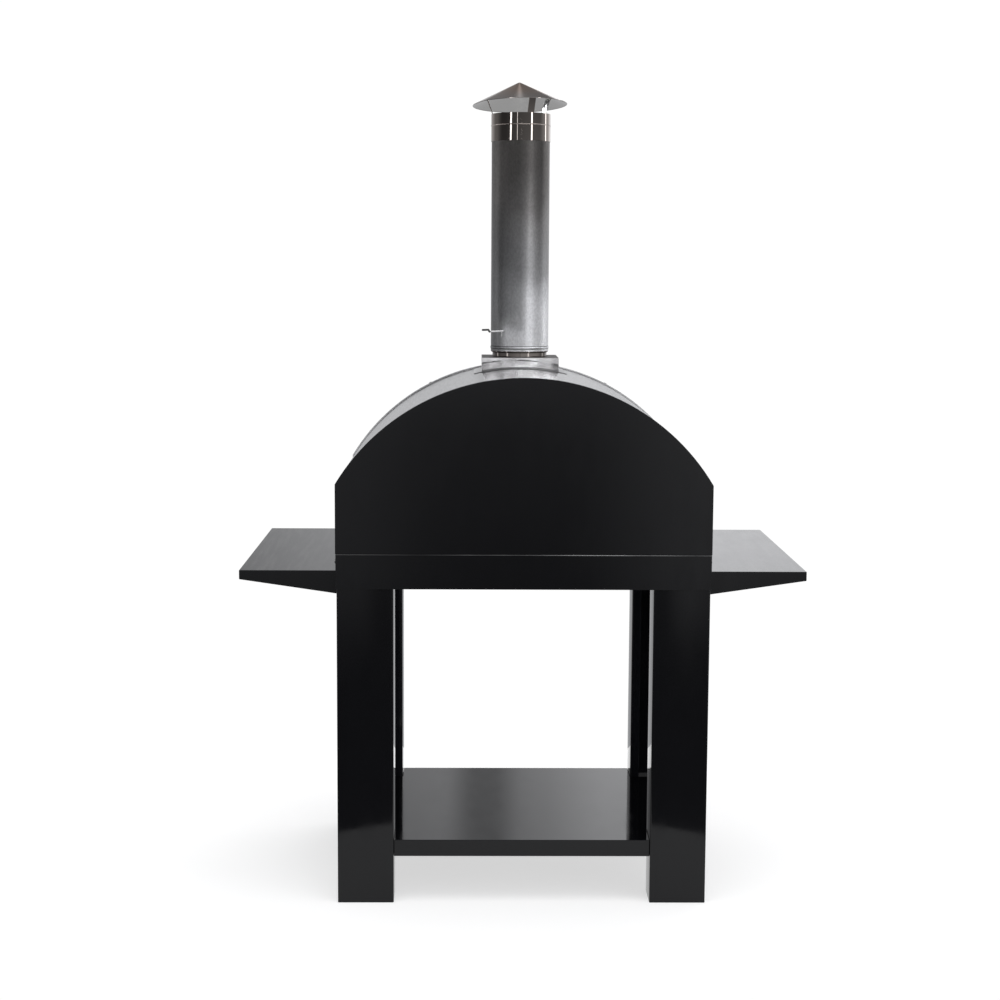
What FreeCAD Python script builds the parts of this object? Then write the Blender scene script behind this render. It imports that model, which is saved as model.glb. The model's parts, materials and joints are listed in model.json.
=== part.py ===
"""Wood fired pizza oven on a sheet-metal stand, with a tall flue, two side shelves and a hinged door.

The oven stands on the floor at z = 0 and its door faces +Y. X runs across the oven and the origin is
under the middle of its bounding box. Lengths are millimetres and angles are degrees.
"""
import FreeCAD, Part
import Sketcher
import os
import re

doc = FreeCAD.newDocument("pizza_oven")

# ---------------------------------------------------------------- driving dimensions
DIMENSIONS = {
    # oven body: an arched tunnel between a rear and a front panel
    "half_width": (457, "half the width of the body"),
    "body_depth": (760, "rear face to front face of the body"),
    "rear_y": (-430, "rear face of the body"),
    "arch_radius": (533.4, "outer radius of the rear panel's arch"),
    "arch_z": (764.4, "height of the arch's centre line"),
    "steel": (2, "powder-coated sheet"),
    "stainless": (1.5, "polished and satin sheet"),
    "skin": (1.2, "dome sheet"),
    "gap": (0.2, "slip gap between sheets that nest"),
    "panel_set_back": (1.5, "rear panel behind the rear apron's face"),
    "panel_rim": (14, "depth of the rear panel's folded rim"),
    # apron ring under the body
    "apron_top": (869.6, "top of the apron ring"),
    "apron_height": (85.1, "height of the apron ring"),
    "apron_half": (456, "half the width of the apron ring"),
    "apron_return": (20, "fold at the top of each apron"),
    # stand
    "leg_width": (138, "wide face of a leg"),
    "leg_depth": (98, "leg, front to back"),
    "leg_lip": (24, "return lip of a leg"),
    "leg_bend": (3.5, "outside bend of a leg"),
    "stand_depth": (703, "rear face to front face of the legs"),
    "shelf_top": (156.7, "top of the lower shelf"),
    "shelf_lip": (41.3, "lip of the lower shelf"),
    "shelf_recess": (9, "lower shelf behind the faces of the legs"),
    "shelf_clear": (0.3, "lower shelf to leg"),
    # side shelves
    "side_top": (824.7, "top of the side shelves"),
    "side_reach": (237.4, "side shelf, out from the apron"),
    "side_depth": (764, "side shelf, front to back"),
    "side_rear": (36, "side shelf's rear edge in from the rear face"),
    "side_outer": (22.5, "skirt at the outer edge"),
    "side_inner": (57, "skirt at the apron"),
    # bolts of the stand and the side shelves
    "bolt_head": (8, "radius of a bolt's round head"),
    "bolt_height": (4, "height of a bolt's head"),
    "bolt_shank": (12, "bolt, under its head"),
    "bolt_drop": (20, "bolt below the top that it holds"),
    # front trim hoop
    "hoop_rise": (2.5, "hoop outside the rear panel's outline"),
    "hoop_width": (24, "hoop behind the front face"),
    "hoop_face": (14, "hoop over the front panel"),
    "screw_head": (4, "radius of a trim screw's head"),
    "screw_height": (1.6, "height of a trim screw's head"),
    "screw_shank": (3.8, "trim screw, under its head"),
    "screw_tilt": (27, "upper trim screws, from the top of the arch"),
    "screw_rise": (60, "lower trim screws above the apron"),
    # baking chamber
    "vault_half": (377, "half the outside width of the chamber"),
    "vault_radius": (469.6, "outside radius of the chamber's arch"),
    "vault_rear": (78, "chamber behind the rear face"),
    "vault_front": (28, "chamber behind the front face"),
    "board": (38, "insulation under the hearth"),
    "hearth_top": (932, "top of the hearth stones"),
    "stone": (22, "hearth stone"),
    "stone_joint": (1, "joint between stones"),
    # mouth and sill
    "mouth_half": (210, "half the clear width of the mouth"),
    "mouth_radius": (310, "radius of the mouth's arch"),
    "mouth_z": (822, "centre of the mouth's arch"),
    "mouth_flange": (27, "flange round the mouth"),
    "sill_reach": (40, "sill in front of the body"),
    "sill_half": (240, "half the width of the sill"),
    "sill_lip": (20, "sill's front lip"),
    # flue
    "flue_y": (157, "flue axis"),
    "box_width": (204, "flue box"),
    "box_top": (1323.5, "top of the flue box"),
    "box_flange": (20.5, "flange of the flue box on the dome"),
    "spigot_radius": (72.8, "spigot under the pipe"),
    "pipe_radius": (77.4, "outside of the flue pipe"),
    "pipe_wall": (0.8, "flue pipe sheet"),
    "pipe_bottom": (1339.5, "lower end of the pipe"),
    "pipe_top": (1925, "upper end of the pipe, inside the collar"),
    "bead_z": (1348.4, "bead at the foot of the pipe"),
    "bead_half": (3.2, "half the width of the pipe's bead"),
    "bead_radius": (5, "section of the pipe's bead"),
    # cap
    "collar_radius": (78.8, "outside of the cap's collar"),
    "collar_bottom": (1892.6, "lower edge of the collar"),
    "collar_top": (1964.7, "upper edge of the collar"),
    "collar_bead": (1934.6, "bead of the collar"),
    "collar_bead_half": (1.4, "half the width of the collar's bead"),
    "cap_radius": (125.5, "rim of the cap"),
    "cap_rim_z": (1989.6, "rim of the cap"),
    "cap_height": (60, "cone of the cap, to its sharp apex"),
    "cap_nose": (12, "rounding of the apex"),
    "cap_drip": (1, "turned-down edge of the cap"),
    "cap_sheet": (1, "cap and its collar"),
    "cap_lean": (-4.1, "the cap leans back on its straps"),
    "cap_tilt": (-1.4, "the cap leans to the left on its straps"),
    "cap_shift": (-3, "cap to the side of the flue axis"),
    "strap_width": (18, "strap"),
    "strap_near": (18.5, "first strap, from -Y towards +X"),
    "strap_right": (127, "second strap, from -Y towards +X"),
    "strap_left": (266, "third strap, from -Y towards +X"),
    "strap_flare": (19, "strap, outwards from the collar"),
    "strap_rise": (52, "strap, upwards from the collar"),
    # damper
    "damper_z": (1392.9, "damper spindle"),
    "damper_turn": (36, "spindle's handle end, from -Y towards -X"),
    "damper_radius": (74.5, "damper plate"),
    "spindle_radius": (2.2, "damper spindle"),
    "shaft_play": (0.06, "play between a shaft and its hole"),
    "spindle_reach": (137, "spindle beyond the flue axis"),
    "grip_radius": (2.6, "damper grip"),
    "grip_length": (26, "level part of the damper grip"),
    "grip_rise": (5, "damper grip above the spindle"),
    "cotter_reach": (84, "cotter pin from the flue axis"),
    "cotter_radius": (1.1, "cotter pin"),
    "cotter_length": (14, "cotter pin"),
    # door
    "door_overlap": (18, "door over the mouth"),
    "door_bottom": (934.5, "lower edge of the door"),
    "door_gap": (3, "door in front of the front face"),
    "door_depth": (25, "door, front to back"),
    "hinge_x": (-243, "hinge axis"),
    "hinge_y": (345, "hinge axis"),
    "hinge_radius": (7, "hinge knuckle"),
    "hinge_pin": (3, "hinge pin"),
    "hinge_low": (942, "lower hinge"),
    "hinge_pitch": (68, "lower hinge to upper hinge"),
    "hinge_height": (40, "one hinge"),
    "hinge_sheet": (3, "hinge plates"),
    "leaf_length": (45, "hinge leaf on the front panel"),
    "leaf_reach": (60, "far end of the leaf from the hinge axis"),
    "web_length": (25, "web between the leaf and its knuckle"),
    "strap_length": (90, "hinge strap on the door"),
    "strap_back": (4, "strap behind the hinge axis"),
    "handle_x": (170, "door handle"),
    "handle_y": (419, "axis of the handle bar"),
    "handle_z": (950, "lower end of the handle bar"),
    "handle_length": (130, "handle bar"),
    "handle_radius": (11, "handle bar"),
    "post_radius": (7, "handle post"),
    "gauge_z": (1060, "thermometer"),
    "gauge_radius": (30, "thermometer case"),
    "gauge_depth": (14, "thermometer case"),
    "gauge_stem": (68, "thermometer stem"),
    "stem_radius": (4, "thermometer stem"),
    "gauge_wall": (3, "wall and back of the thermometer case"),
    "glass_drop": (4, "back of the glass below the case's rim"),
    "needle_lift": (5.5, "needle in front of the door"),
    "needle_width": (1.6, "thermometer needle"),
    "needle_sheet": (0.8, "thermometer needle"),
    "needle_cold": (135, "needle at rest, clockwise from the top as seen from behind"),
}

sheet = doc.addObject("Spreadsheet::Sheet", "Sheet")
for row, (alias, (size, note)) in enumerate(DIMENSIONS.items(), start=1):
    sheet.set("A%d" % row, alias)
    sheet.set("B%d" % row, str(size))
    sheet.set("C%d" % row, note)
    sheet.setAlias("B%d" % row, alias)
doc.recompute()


# ---------------------------------------------------------------- helpers
def cell(text):
    """The expression with each dimension's name pointing at its cell."""
    def point(match):
        word = match.group()
        return "Sheet." + word if word in DIMENSIONS else word
    return re.sub(r"[a-z][a-z_]*", point, text)


def size_of(text):
    """The number that an expression of dimensions gives now."""
    return float(sheet.evalExpression(cell(text)))


def bind(feature, **expressions):
    for name, text in expressions.items():
        feature.setExpression(name, cell(text))
    return feature


def place(feature, x="0", y="0", z="0", rotation=None):
    """Puts the feature at x, y, z, after turning it by a fixed rotation."""
    if rotation is not None:
        feature.Placement = FreeCAD.Placement(FreeCAD.Vector(), rotation)
    for axis, text in (("x", x), ("y", y), ("z", z)):
        feature.setExpression("Placement.Base." + axis, cell(text))
    return feature


def axis_rotation(direction):
    """Turns +Z to the direction."""
    return FreeCAD.Rotation(FreeCAD.Vector(0, 0, 1), FreeCAD.Vector(*direction))


ALONG_Y = FreeCAD.Rotation(FreeCAD.Vector(1, 0, 0), -90)


def new_body(label):
    body = doc.addObject("PartDesign::Body", label)
    body.Label = label
    return body


def new_sketch(body, plane):
    sketch = body.newObject("Sketcher::SketchObject", body.Name + "_outline")
    support = [item for item in body.Origin.OriginFeatures if item.Role == plane + "_Plane"]
    sketch.AttachmentSupport = [(support[0], "")]
    sketch.MapMode = "FlatFace"
    return sketch


def fix(sketch, kind, geometry, point, text):
    """Fixes one coordinate of a point of the sketch to an expression."""
    rule = Sketcher.Constraint(kind, -1, 1, geometry, point, size_of(text))
    index = sketch.addConstraint(rule)
    sketch.setExpression("Constraints[%d]" % index, cell(text))


def outline(sketch, points, arcs=None):
    """A closed anticlockwise outline; arcs gives the radius of each stretch that bulges outwards."""
    arcs = arcs or {}
    corners = [FreeCAD.Vector(size_of(x), size_of(y), 0) for x, y in points]
    first = sketch.GeometryCount
    for index, start in enumerate(corners):
        end = corners[(index + 1) % len(corners)]
        if index not in arcs:
            sketch.addGeometry(Part.LineSegment(start, end), False)
            continue
        radius = size_of(arcs[index])
        chord = end - start
        middle = (start + end) / 2
        inward = FreeCAD.Vector(-chord.y, chord.x, 0).normalize()
        centre = middle + inward * max(radius ** 2 - (chord.Length / 2) ** 2, 0) ** 0.5
        circle = Part.Circle(centre, FreeCAD.Vector(0, 0, 1), radius)
        arc = Part.ArcOfCircle(circle, circle.parameter(start), circle.parameter(end))
        sketch.addGeometry(arc, False)
    count = len(corners)
    for index in range(count):
        follower = first + (index + 1) % count
        sketch.addConstraint(Sketcher.Constraint("Coincident", first + index, 2, follower, 1))
    for index, (x, y) in enumerate(points):
        fix(sketch, "DistanceX", first + index, 1, x)
        fix(sketch, "DistanceY", first + index, 1, y)
    for index, text in arcs.items():
        rule = sketch.addConstraint(Sketcher.Constraint("Radius", first + index, size_of(text)))
        sketch.setExpression("Constraints[%d]" % rule, cell(text))
    return sketch


def extrude(body, kind, sketch, length, symmetric=False, backwards=False):
    """A Pad or Pocket of a sketch."""
    feature = body.newObject("PartDesign::" + kind, body.Name + "_" + kind.lower())
    feature.Profile = sketch
    feature.SideType = "Symmetric" if symmetric else "One side"
    feature.Reversed = backwards
    bind(feature, Length=length)
    sketch.Visibility = False
    doc.recompute()
    return feature


def pad_y(body, points, length, arcs=None):
    """A pad towards +Y of an outline in the XZ plane."""
    return extrude(body, "Pad", outline(new_sketch(body, "XZ"), points, arcs), length, backwards=True)


def pocket_y(body, points, start, length, arcs=None):
    """Cuts an outline in the XZ plane out of the body, from start towards +Y."""
    sketch = outline(new_sketch(body, "XZ"), points, arcs)
    sketch.setExpression("AttachmentOffset.Base.z", cell("-(%s)" % start))
    volume = body.Shape.Volume
    feature = extrude(body, "Pocket", sketch, length)
    if body.Shape.Volume > volume - 1:
        raise ValueError(body.Name + ": the pocket cuts nothing")
    return feature


def turned(label, points, arcs=None):
    """A body of revolution about Z; the points are radius and height."""
    body = new_body(label)
    sketch = outline(new_sketch(body, "XZ"), points, arcs)
    feature = body.newObject("PartDesign::Revolution", label + "_turn")
    feature.Profile = sketch
    feature.ReferenceAxis = (sketch, ["V_Axis"])
    feature.Angle = 360
    sketch.Visibility = False
    doc.recompute()
    return body


def box(label, x, y, z, length, width, height):
    """A block between x and x + length, and so on."""
    block = doc.addObject("Part::Box", label)
    block.Label = label
    bind(block, Length=length, Width=width, Height=height)
    return place(block, x, y, z)


def rod(label, radius, height, x="0", y="0", z="0", rotation=None):
    bar = doc.addObject("Part::Cylinder", label)
    bar.Label = label
    bind(bar, Radius=radius, Height=height)
    return place(bar, x, y, z, rotation)


def join(label, first, second):
    both = doc.addObject("Part::Fuse", label)
    both.Label = label
    both.Base = first
    both.Tool = second
    return both


def cut(label, base, tool):
    rest = doc.addObject("Part::Cut", label)
    rest.Label = label
    rest.Base = base
    rest.Tool = tool
    return rest


def overlap(label, first, second):
    shared = doc.addObject("Part::Common", label)
    shared.Label = label
    shared.Base = first
    shared.Tool = second
    return shared


def group(label, pieces):
    """Separate solids in one sub-part."""
    bundle = doc.addObject("Part::Compound", label)
    bundle.Label = label
    bundle.Links = pieces
    return bundle


def arch(half, radius, centre, base):
    """An arched outline: upright sides from base, and an arc over the top."""
    shoulder = "%s + sqrt((%s)^2 - (%s)^2)" % (centre, radius, half)
    points = [
        ("-(%s)" % half, base),
        (half, base),
        (half, shoulder),
        ("-(%s)" % half, shoulder),
    ]
    return points, {2: radius}


def body_arch(offset, base):
    """The body's outline, moved outwards by offset."""
    half = "half_width + (%s)" % offset
    radius = "arch_radius + (%s)" % offset
    return arch(half, radius, "arch_z", base)


def vault_arch(offset, base):
    half = "vault_half + (%s)" % offset
    radius = "vault_radius + (%s)" % offset
    return arch(half, radius, "arch_z", base)


def mouth_arch(offset, base):
    half = "mouth_half + (%s)" % offset
    radius = "mouth_radius + (%s)" % offset
    return arch(half, radius, "mouth_z", base)


def arched_plate(label, shape, start, depth):
    """A plate with an arched outline, from start towards +Y."""
    points, arcs = shape
    body = new_body(label)
    pad_y(body, points, depth, arcs)
    place(body, y=start)
    return body


PARTS = []


def keep(*features):
    PARTS.extend(features)


SHELL_BASE = "apron_top + gap"
TRAY_TOP = "apron_top + steel + gap"
FRONT_Y = "rear_y + body_depth"
SHELL_OUT = "-(stainless + gap)"
SHELL_IN = "-(stainless + gap + skin)"
FILL_OUT = "-(stainless + 2 * gap + skin)"
BELOW = "apron_top - 50"


# ---------------------------------------------------------------- stand
def make_legs():
    """Four lipped channels, each with its wide face outwards and its open side to the middle."""
    points = [
        ("0", "0"),
        ("leg_width", "0"),
        ("leg_width", "leg_depth"),
        ("leg_width - leg_lip", "leg_depth"),
        ("leg_width - leg_lip", "leg_depth - steel"),
        ("leg_width - steel", "leg_depth - steel"),
        ("leg_width - steel", "steel"),
        ("steel", "steel"),
        ("steel", "leg_depth - steel"),
        ("leg_lip", "leg_depth - steel"),
        ("leg_lip", "leg_depth"),
        ("0", "leg_depth"),
    ]
    outer = "(apron_half - steel)"
    half_turn = FreeCAD.Rotation(FreeCAD.Vector(0, 0, 1), 180)
    places = (
        ("leg_rear_left", "-" + outer, "rear_y + steel", None),
        ("leg_rear_right", outer + " - leg_width", "rear_y + steel", None),
        ("leg_front_left", "-" + outer + " + leg_width", "rear_y + steel + stand_depth", half_turn),
        ("leg_front_right", outer, "rear_y + steel + stand_depth", half_turn),
    )
    for label, x, y, rotation in places:
        body = new_body(label)
        channel = extrude(body, "Pad", outline(new_sketch(body, "XY"), points), "apron_top - steel")
        edges = enumerate(channel.Shape.Edges, start=1)
        corners = ["Edge%d" % number for number, edge in edges if is_outer_corner(edge)]
        bend = body.newObject("PartDesign::Fillet", label + "_bend")
        bend.Base = (channel, corners)
        bind(bend, Radius="leg_bend")
        place(body, x, y, rotation=rotation)
        keep(body)


def is_outer_corner(edge):
    """True on the four upright edges at the outside corners of a leg."""
    ends = [vertex.Point for vertex in edge.Vertexes]
    upright = len(ends) == 2 and abs(ends[0].z - ends[1].z) > 1
    if not upright:
        return False
    across = min(abs(ends[0].x), abs(ends[0].x - size_of("leg_width"))) < 0.01
    along = min(abs(ends[0].y), abs(ends[0].y - size_of("leg_depth"))) < 0.01
    return across and along


def make_aprons():
    """The ring under the body: a plate with a fold at its top on each side."""
    bottom = "apron_top - apron_height"
    for label, sign, y in (("apron_rear", "", "rear_y"), ("apron_front", "-", FRONT_Y)):
        body = new_body(label)
        plate = [("0", bottom), (sign + "steel", bottom), (sign + "steel", "apron_top"), ("0", "apron_top")]
        fold = [
            (sign + "steel", "apron_top - steel"),
            (sign + "(steel + apron_return)", "apron_top - steel"),
            (sign + "(steel + apron_return)", "apron_top"),
            (sign + "steel", "apron_top"),
        ]
        order = -1 if sign else 1
        sketch = outline(new_sketch(body, "YZ"), plate[::order])
        extrude(body, "Pad", sketch, "2 * apron_half", symmetric=True)
        sketch = outline(new_sketch(body, "YZ"), fold[::order])
        extrude(body, "Pad", sketch, "2 * (apron_half - steel - apron_return) - 2 * gap", symmetric=True)
        place(body, y=y)
        keep(body)
    for label, sign in (("apron_left", "-"), ("apron_right", "")):
        body = new_body(label)
        inner = "%s(apron_half - steel)" % sign
        outer = "%sapron_half" % sign
        folded = "%s(apron_half - steel - apron_return)" % sign
        profile = [
            (inner, bottom),
            (outer, bottom),
            (outer, "apron_top"),
            (folded, "apron_top"),
            (folded, "apron_top - steel"),
            (inner, "apron_top - steel"),
        ]
        pad_y(body, profile[::-1] if sign else profile, "body_depth - 2 * steel")
        place(body, y="rear_y + steel")
        keep(body)


def make_lower_shelf():
    """A folded pan between the legs, notched round them."""
    near = "rear_y + steel + shelf_recess"
    far = "rear_y + stand_depth - shelf_recess / 2"
    between = "(apron_half - steel - leg_width - shelf_clear)"
    outer = "(apron_half - steel)"
    near_leg = "rear_y + steel + leg_depth + shelf_clear"
    far_leg = "rear_y + steel + stand_depth - leg_depth - shelf_clear"
    body = new_body("lower_shelf")

    def shape(inset):
        return [
            ("-%s + %s" % (between, inset), "%s + %s" % (near, inset)),
            ("%s - %s" % (between, inset), "%s + %s" % (near, inset)),
            ("%s - %s" % (between, inset), "%s + %s" % (near_leg, inset)),
            ("%s - %s" % (outer, inset), "%s + %s" % (near_leg, inset)),
            ("%s - %s" % (outer, inset), "%s - %s" % (far_leg, inset)),
            ("%s - %s" % (between, inset), "%s - %s" % (far_leg, inset)),
            ("%s - %s" % (between, inset), "%s - %s" % (far, inset)),
            ("-%s + %s" % (between, inset), "%s - %s" % (far, inset)),
            ("-%s + %s" % (between, inset), "%s - %s" % (far_leg, inset)),
            ("-%s + %s" % (outer, inset), "%s - %s" % (far_leg, inset)),
            ("-%s + %s" % (outer, inset), "%s + %s" % (near_leg, inset)),
            ("-%s + %s" % (between, inset), "%s + %s" % (near_leg, inset)),
        ]

    extrude(body, "Pad", outline(new_sketch(body, "XY"), shape("0")), "shelf_lip")
    sketch = outline(new_sketch(body, "XY"), shape("steel"))
    extrude(body, "Pocket", sketch, "shelf_lip - steel", backwards=True)
    place(body, z="shelf_top - shelf_lip")
    keep(body)


def make_side_shelves():
    """Two folded pans whose skirts taper from the apron to the outer edge."""
    turn = FreeCAD.Rotation(FreeCAD.Vector(0, 0, 1), 180)
    middle = "rear_y + side_rear + side_depth / 2"
    for label, x, rotation in (
        ("side_shelf_right", "apron_half", None),
        ("side_shelf_left", "-apron_half", turn),
    ):
        body = new_body(label)
        profile = [
            ("0", "-side_inner"),
            ("side_reach", "-side_outer"),
            ("side_reach", "0"),
            ("0", "0"),
        ]
        hollow = [
            ("steel", "-2 * side_inner"),
            ("side_reach - steel", "-2 * side_outer"),
            ("side_reach - steel", "-steel"),
            ("steel", "-steel"),
        ]
        extrude(body, "Pad", outline(new_sketch(body, "XZ"), profile), "side_depth", symmetric=True)
        sketch = outline(new_sketch(body, "XZ"), hollow)
        extrude(body, "Pocket", sketch, "side_depth - 2 * steel", symmetric=True)
        place(body, x, middle, "side_top", rotation)
        keep(body)


def button_head(label, x, y, z, direction, radius, height, shank):
    """A round head on a face, with its shank going into it."""
    rotation = axis_rotation(direction)
    back = axis_rotation([-value for value in direction])
    head = rod(label + "_head", radius, height, x, y, z, rotation)
    stem = rod(label + "_shank", "(%s) * 0.5" % radius, shank, x, y, z, back)
    return join(label, head, stem)


def make_bolts():
    """Bolts through the side aprons into the legs, and through the side shelves into the aprons."""
    head = ("bolt_head", "bolt_height", "bolt_shank")
    leg_pieces = []
    shelf_pieces = []
    leg_start = "rear_y + steel"
    leg_end = leg_start + " + stand_depth"
    along_legs = (
        leg_start + " + leg_depth * 0.3",
        leg_start + " + leg_depth * 0.75",
        leg_end + " - leg_depth * 0.75",
        leg_end + " - leg_depth * 0.3",
    )
    for side, sign in (("left", -1), ("right", 1)):
        for number, y in enumerate(along_legs):
            x = "%d * apron_half" % sign
            name = "leg_bolt_%s_%d" % (side, number)
            leg_pieces.append(button_head(name, x, y, "apron_top - bolt_drop", (sign, 0, 0), *head))
        for number in range(4):
            x = "%d * (apron_half + steel)" % sign
            y = "rear_y + side_rear + side_depth * %d / 5" % (number + 1)
            name = "shelf_bolt_%s_%d" % (side, number)
            shelf_pieces.append(button_head(name, x, y, "side_top - bolt_drop", (sign, 0, 0), *head))
    keep(group("leg_bolts", leg_pieces), group("shelf_bolts", shelf_pieces))


# ---------------------------------------------------------------- body
def make_shell():
    """Rear panel, dome, front panel and the hoop that trims the dome's front edge."""
    keep(box("base_tray", "-apron_half + 2 * steel", "rear_y + 2 * steel", "apron_top",
             "2 * apron_half - 4 * steel", "body_depth - 4 * steel", "steel"))

    start = "rear_y + panel_set_back"
    points, arcs = body_arch("0", SHELL_BASE)
    rear = new_body("rear_panel")
    pad_y(rear, points, "steel + panel_rim", arcs)
    points, arcs = body_arch("-stainless", BELOW)
    pocket_y(rear, points, "steel", "panel_rim + 1", arcs)
    place(rear, y=start)
    keep(rear)

    shell_start = start + " + steel + gap"
    shell_depth = "body_depth - panel_set_back - 2 * steel - 2 * gap"
    points, arcs = body_arch(SHELL_OUT, SHELL_BASE)
    dome = new_body("dome_sheet")
    pad_y(dome, points, shell_depth, arcs)
    points, arcs = body_arch(SHELL_IN, BELOW)
    pocket_y(dome, points, "-1", "body_depth", arcs)
    place(dome, y=shell_start)
    doc.recompute()
    flue = rod("dome_flue_hole", "spigot_radius + 3 * gap", "half_width", y="flue_y",
               z="arch_z + vault_radius")
    keep(cut("dome_shell", dome, flue))

    points, arcs = body_arch(SHELL_OUT, SHELL_BASE)
    front = new_body("front_panel")
    pad_y(front, points, "steel", arcs)
    points, arcs = mouth_arch("stainless + 2 * gap", "hearth_top - steel - gap")
    pocket_y(front, points, "-1", "steel + 2", arcs)
    place(front, y=FRONT_Y + " - steel")
    keep(front)

    hoop = new_body("front_trim")
    points, arcs = body_arch("hoop_rise", SHELL_BASE)
    pad_y(hoop, points, "hoop_width + stainless", arcs)
    points, arcs = body_arch("-stainless", BELOW)
    pocket_y(hoop, points, "-1", "hoop_width + 1", arcs)
    points, arcs = body_arch("hoop_rise - stainless", BELOW)
    pocket_y(hoop, points, "stainless", "hoop_width - stainless", arcs)
    points, arcs = body_arch("-hoop_face", BELOW)
    pocket_y(hoop, points, "-1", "hoop_width + 10", arcs)
    place(hoop, y=FRONT_Y + " - hoop_width")
    keep(hoop)


def make_trim_screws():
    """Four screws through the hoop: two on the arch and two low on its sides."""
    head = ("screw_head", "screw_height", "screw_shank")
    tilt = FreeCAD.Rotation(FreeCAD.Vector(0, 1, 0), size_of("screw_tilt"))
    rise = tilt.multVec(FreeCAD.Vector(0, 0, 1))
    y = FRONT_Y + " - hoop_width / 2"
    pieces = []
    for side, sign in (("left", -1), ("right", 1)):
        x = "%g * (arch_radius + hoop_rise)" % (sign * rise.x)
        z = "arch_z + %g * (arch_radius + hoop_rise)" % rise.z
        pieces.append(button_head("arch_screw_" + side, x, y, z, (sign * rise.x, 0, rise.z), *head))
        x = "%d * (half_width + hoop_rise)" % sign
        z = "apron_top + screw_rise"
        pieces.append(button_head("side_screw_" + side, x, y, z, (sign, 0, 0), *head))
    keep(group("trim_screws", pieces))


def make_chamber():
    """The steel vault, the fibre blanket round it and the stones on the floor."""
    rear = "rear_y + vault_rear"
    front = FRONT_Y + " - vault_front"
    depth = "body_depth - vault_rear - vault_front"
    flue = ("0", "flue_y", "arch_z")

    points, arcs = vault_arch("0", TRAY_TOP)
    vault = new_body("vault_sheet")
    pad_y(vault, points, depth + " - 2 * steel", arcs)
    points, arcs = vault_arch("-steel", BELOW)
    pocket_y(vault, points, "-1", "body_depth", arcs)
    place(vault, y=rear + " + steel")
    tool = rod("vault_flue_hole", "spigot_radius + 2 * gap", "600", *flue)
    keep(cut("vault_arch", vault, tool))

    keep(arched_plate("vault_back", vault_arch("0", TRAY_TOP), rear, "steel"))

    plate = arched_plate("vault_front", vault_arch("0", TRAY_TOP), front + " - steel", "steel")
    points, arcs = mouth_arch("stainless + 2 * gap", "hearth_top - steel - gap")
    pocket_y(plate, points, "-1", "steel + 2", arcs)
    keep(plate)

    keep(arched_plate("insulation_rear", body_arch(FILL_OUT, TRAY_TOP),
                      "rear_y + panel_set_back + steel + 2 * gap",
                      "vault_rear - panel_set_back - steel - 4 * gap"))

    blanket = new_body("insulation_blanket")
    points, arcs = body_arch(FILL_OUT, TRAY_TOP)
    pad_y(blanket, points, depth, arcs)
    points, arcs = vault_arch("gap", BELOW)
    pocket_y(blanket, points, "-1", "body_depth", arcs)
    place(blanket, y=rear)
    tool = rod("blanket_flue_hole", "spigot_radius + 3 * gap", "600", *flue)
    keep(cut("insulation_arch", blanket, tool))

    slab = arched_plate("insulation_front", body_arch(FILL_OUT, TRAY_TOP), front + " + gap",
                        "vault_front - steel - 2 * gap")
    points, arcs = mouth_arch("stainless + 2 * gap", "hearth_top - steel - gap")
    pocket_y(slab, points, "-1", "vault_front + 2", arcs)
    keep(slab)

    inner = "(vault_half - steel - gap)"
    floor_y = rear + " + steel + gap"
    floor_depth = "(%s - 2 * steel - 2 * gap)" % depth
    keep(box("floor_board", "-" + inner, floor_y, TRAY_TOP, "2 * " + inner, floor_depth, "board"))
    wide = "(%s - stone_joint / 2)" % inner
    deep = "(%s - stone_joint) / 2" % floor_depth
    for row in range(2):
        for column in range(2):
            x = "-%s + %d * (%s + stone_joint)" % (inner, column, wide)
            y = "%s + %d * (%s + stone_joint)" % (floor_y, row, deep)
            label = "hearth_stone_%d" % (1 + column + 2 * row)
            keep(box(label, x, y, "hearth_top - stone", wide, deep, "stone"))


def make_mouth():
    """The stainless frame round the mouth and the sill that the door closes over."""
    frame = new_body("mouth_frame")
    tunnel = "vault_front + steel"
    points, arcs = mouth_arch("mouth_flange", "hearth_top + gap")
    pad_y(frame, points, tunnel + " + gap + stainless", arcs)
    points, arcs = mouth_arch("0", BELOW)
    pocket_y(frame, points, "-1", "body_depth", arcs)
    beyond, beyond_arcs = mouth_arch("2 * mouth_flange", BELOW)
    stays, stays_arcs = mouth_arch("stainless", "hearth_top - mouth_flange")
    ring = outline(new_sketch(frame, "XZ"), beyond, beyond_arcs)
    ring.setExpression("AttachmentOffset.Base.z", "1")
    outline(ring, stays, stays_arcs)
    extrude(frame, "Pocket", ring, tunnel + " + gap + 1")
    place(frame, y=FRONT_Y + " - vault_front - steel")
    keep(frame)

    sill = new_body("mouth_sill")
    inside = "mouth_half - 2 * gap"
    back = "-(vault_front + steel - 2 * gap)"
    face = "gap"
    shape = [
        ("-(%s)" % inside, back),
        (inside, back),
        (inside, face),
        ("sill_half", face),
        ("sill_half", "sill_reach"),
        ("-sill_half", "sill_reach"),
        ("-sill_half", face),
        ("-(%s)" % inside, face),
    ]
    extrude(sill, "Pad", outline(new_sketch(sill, "XY"), shape), "steel", backwards=True)
    lip = [
        ("-sill_half", "sill_reach - steel"),
        ("sill_half", "sill_reach - steel"),
        ("sill_half", "sill_reach"),
        ("-sill_half", "sill_reach"),
    ]
    extrude(sill, "Pad", outline(new_sketch(sill, "XY"), lip), "sill_lip", backwards=True)
    place(sill, y=FRONT_Y, z="hearth_top")
    keep(sill)


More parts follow.
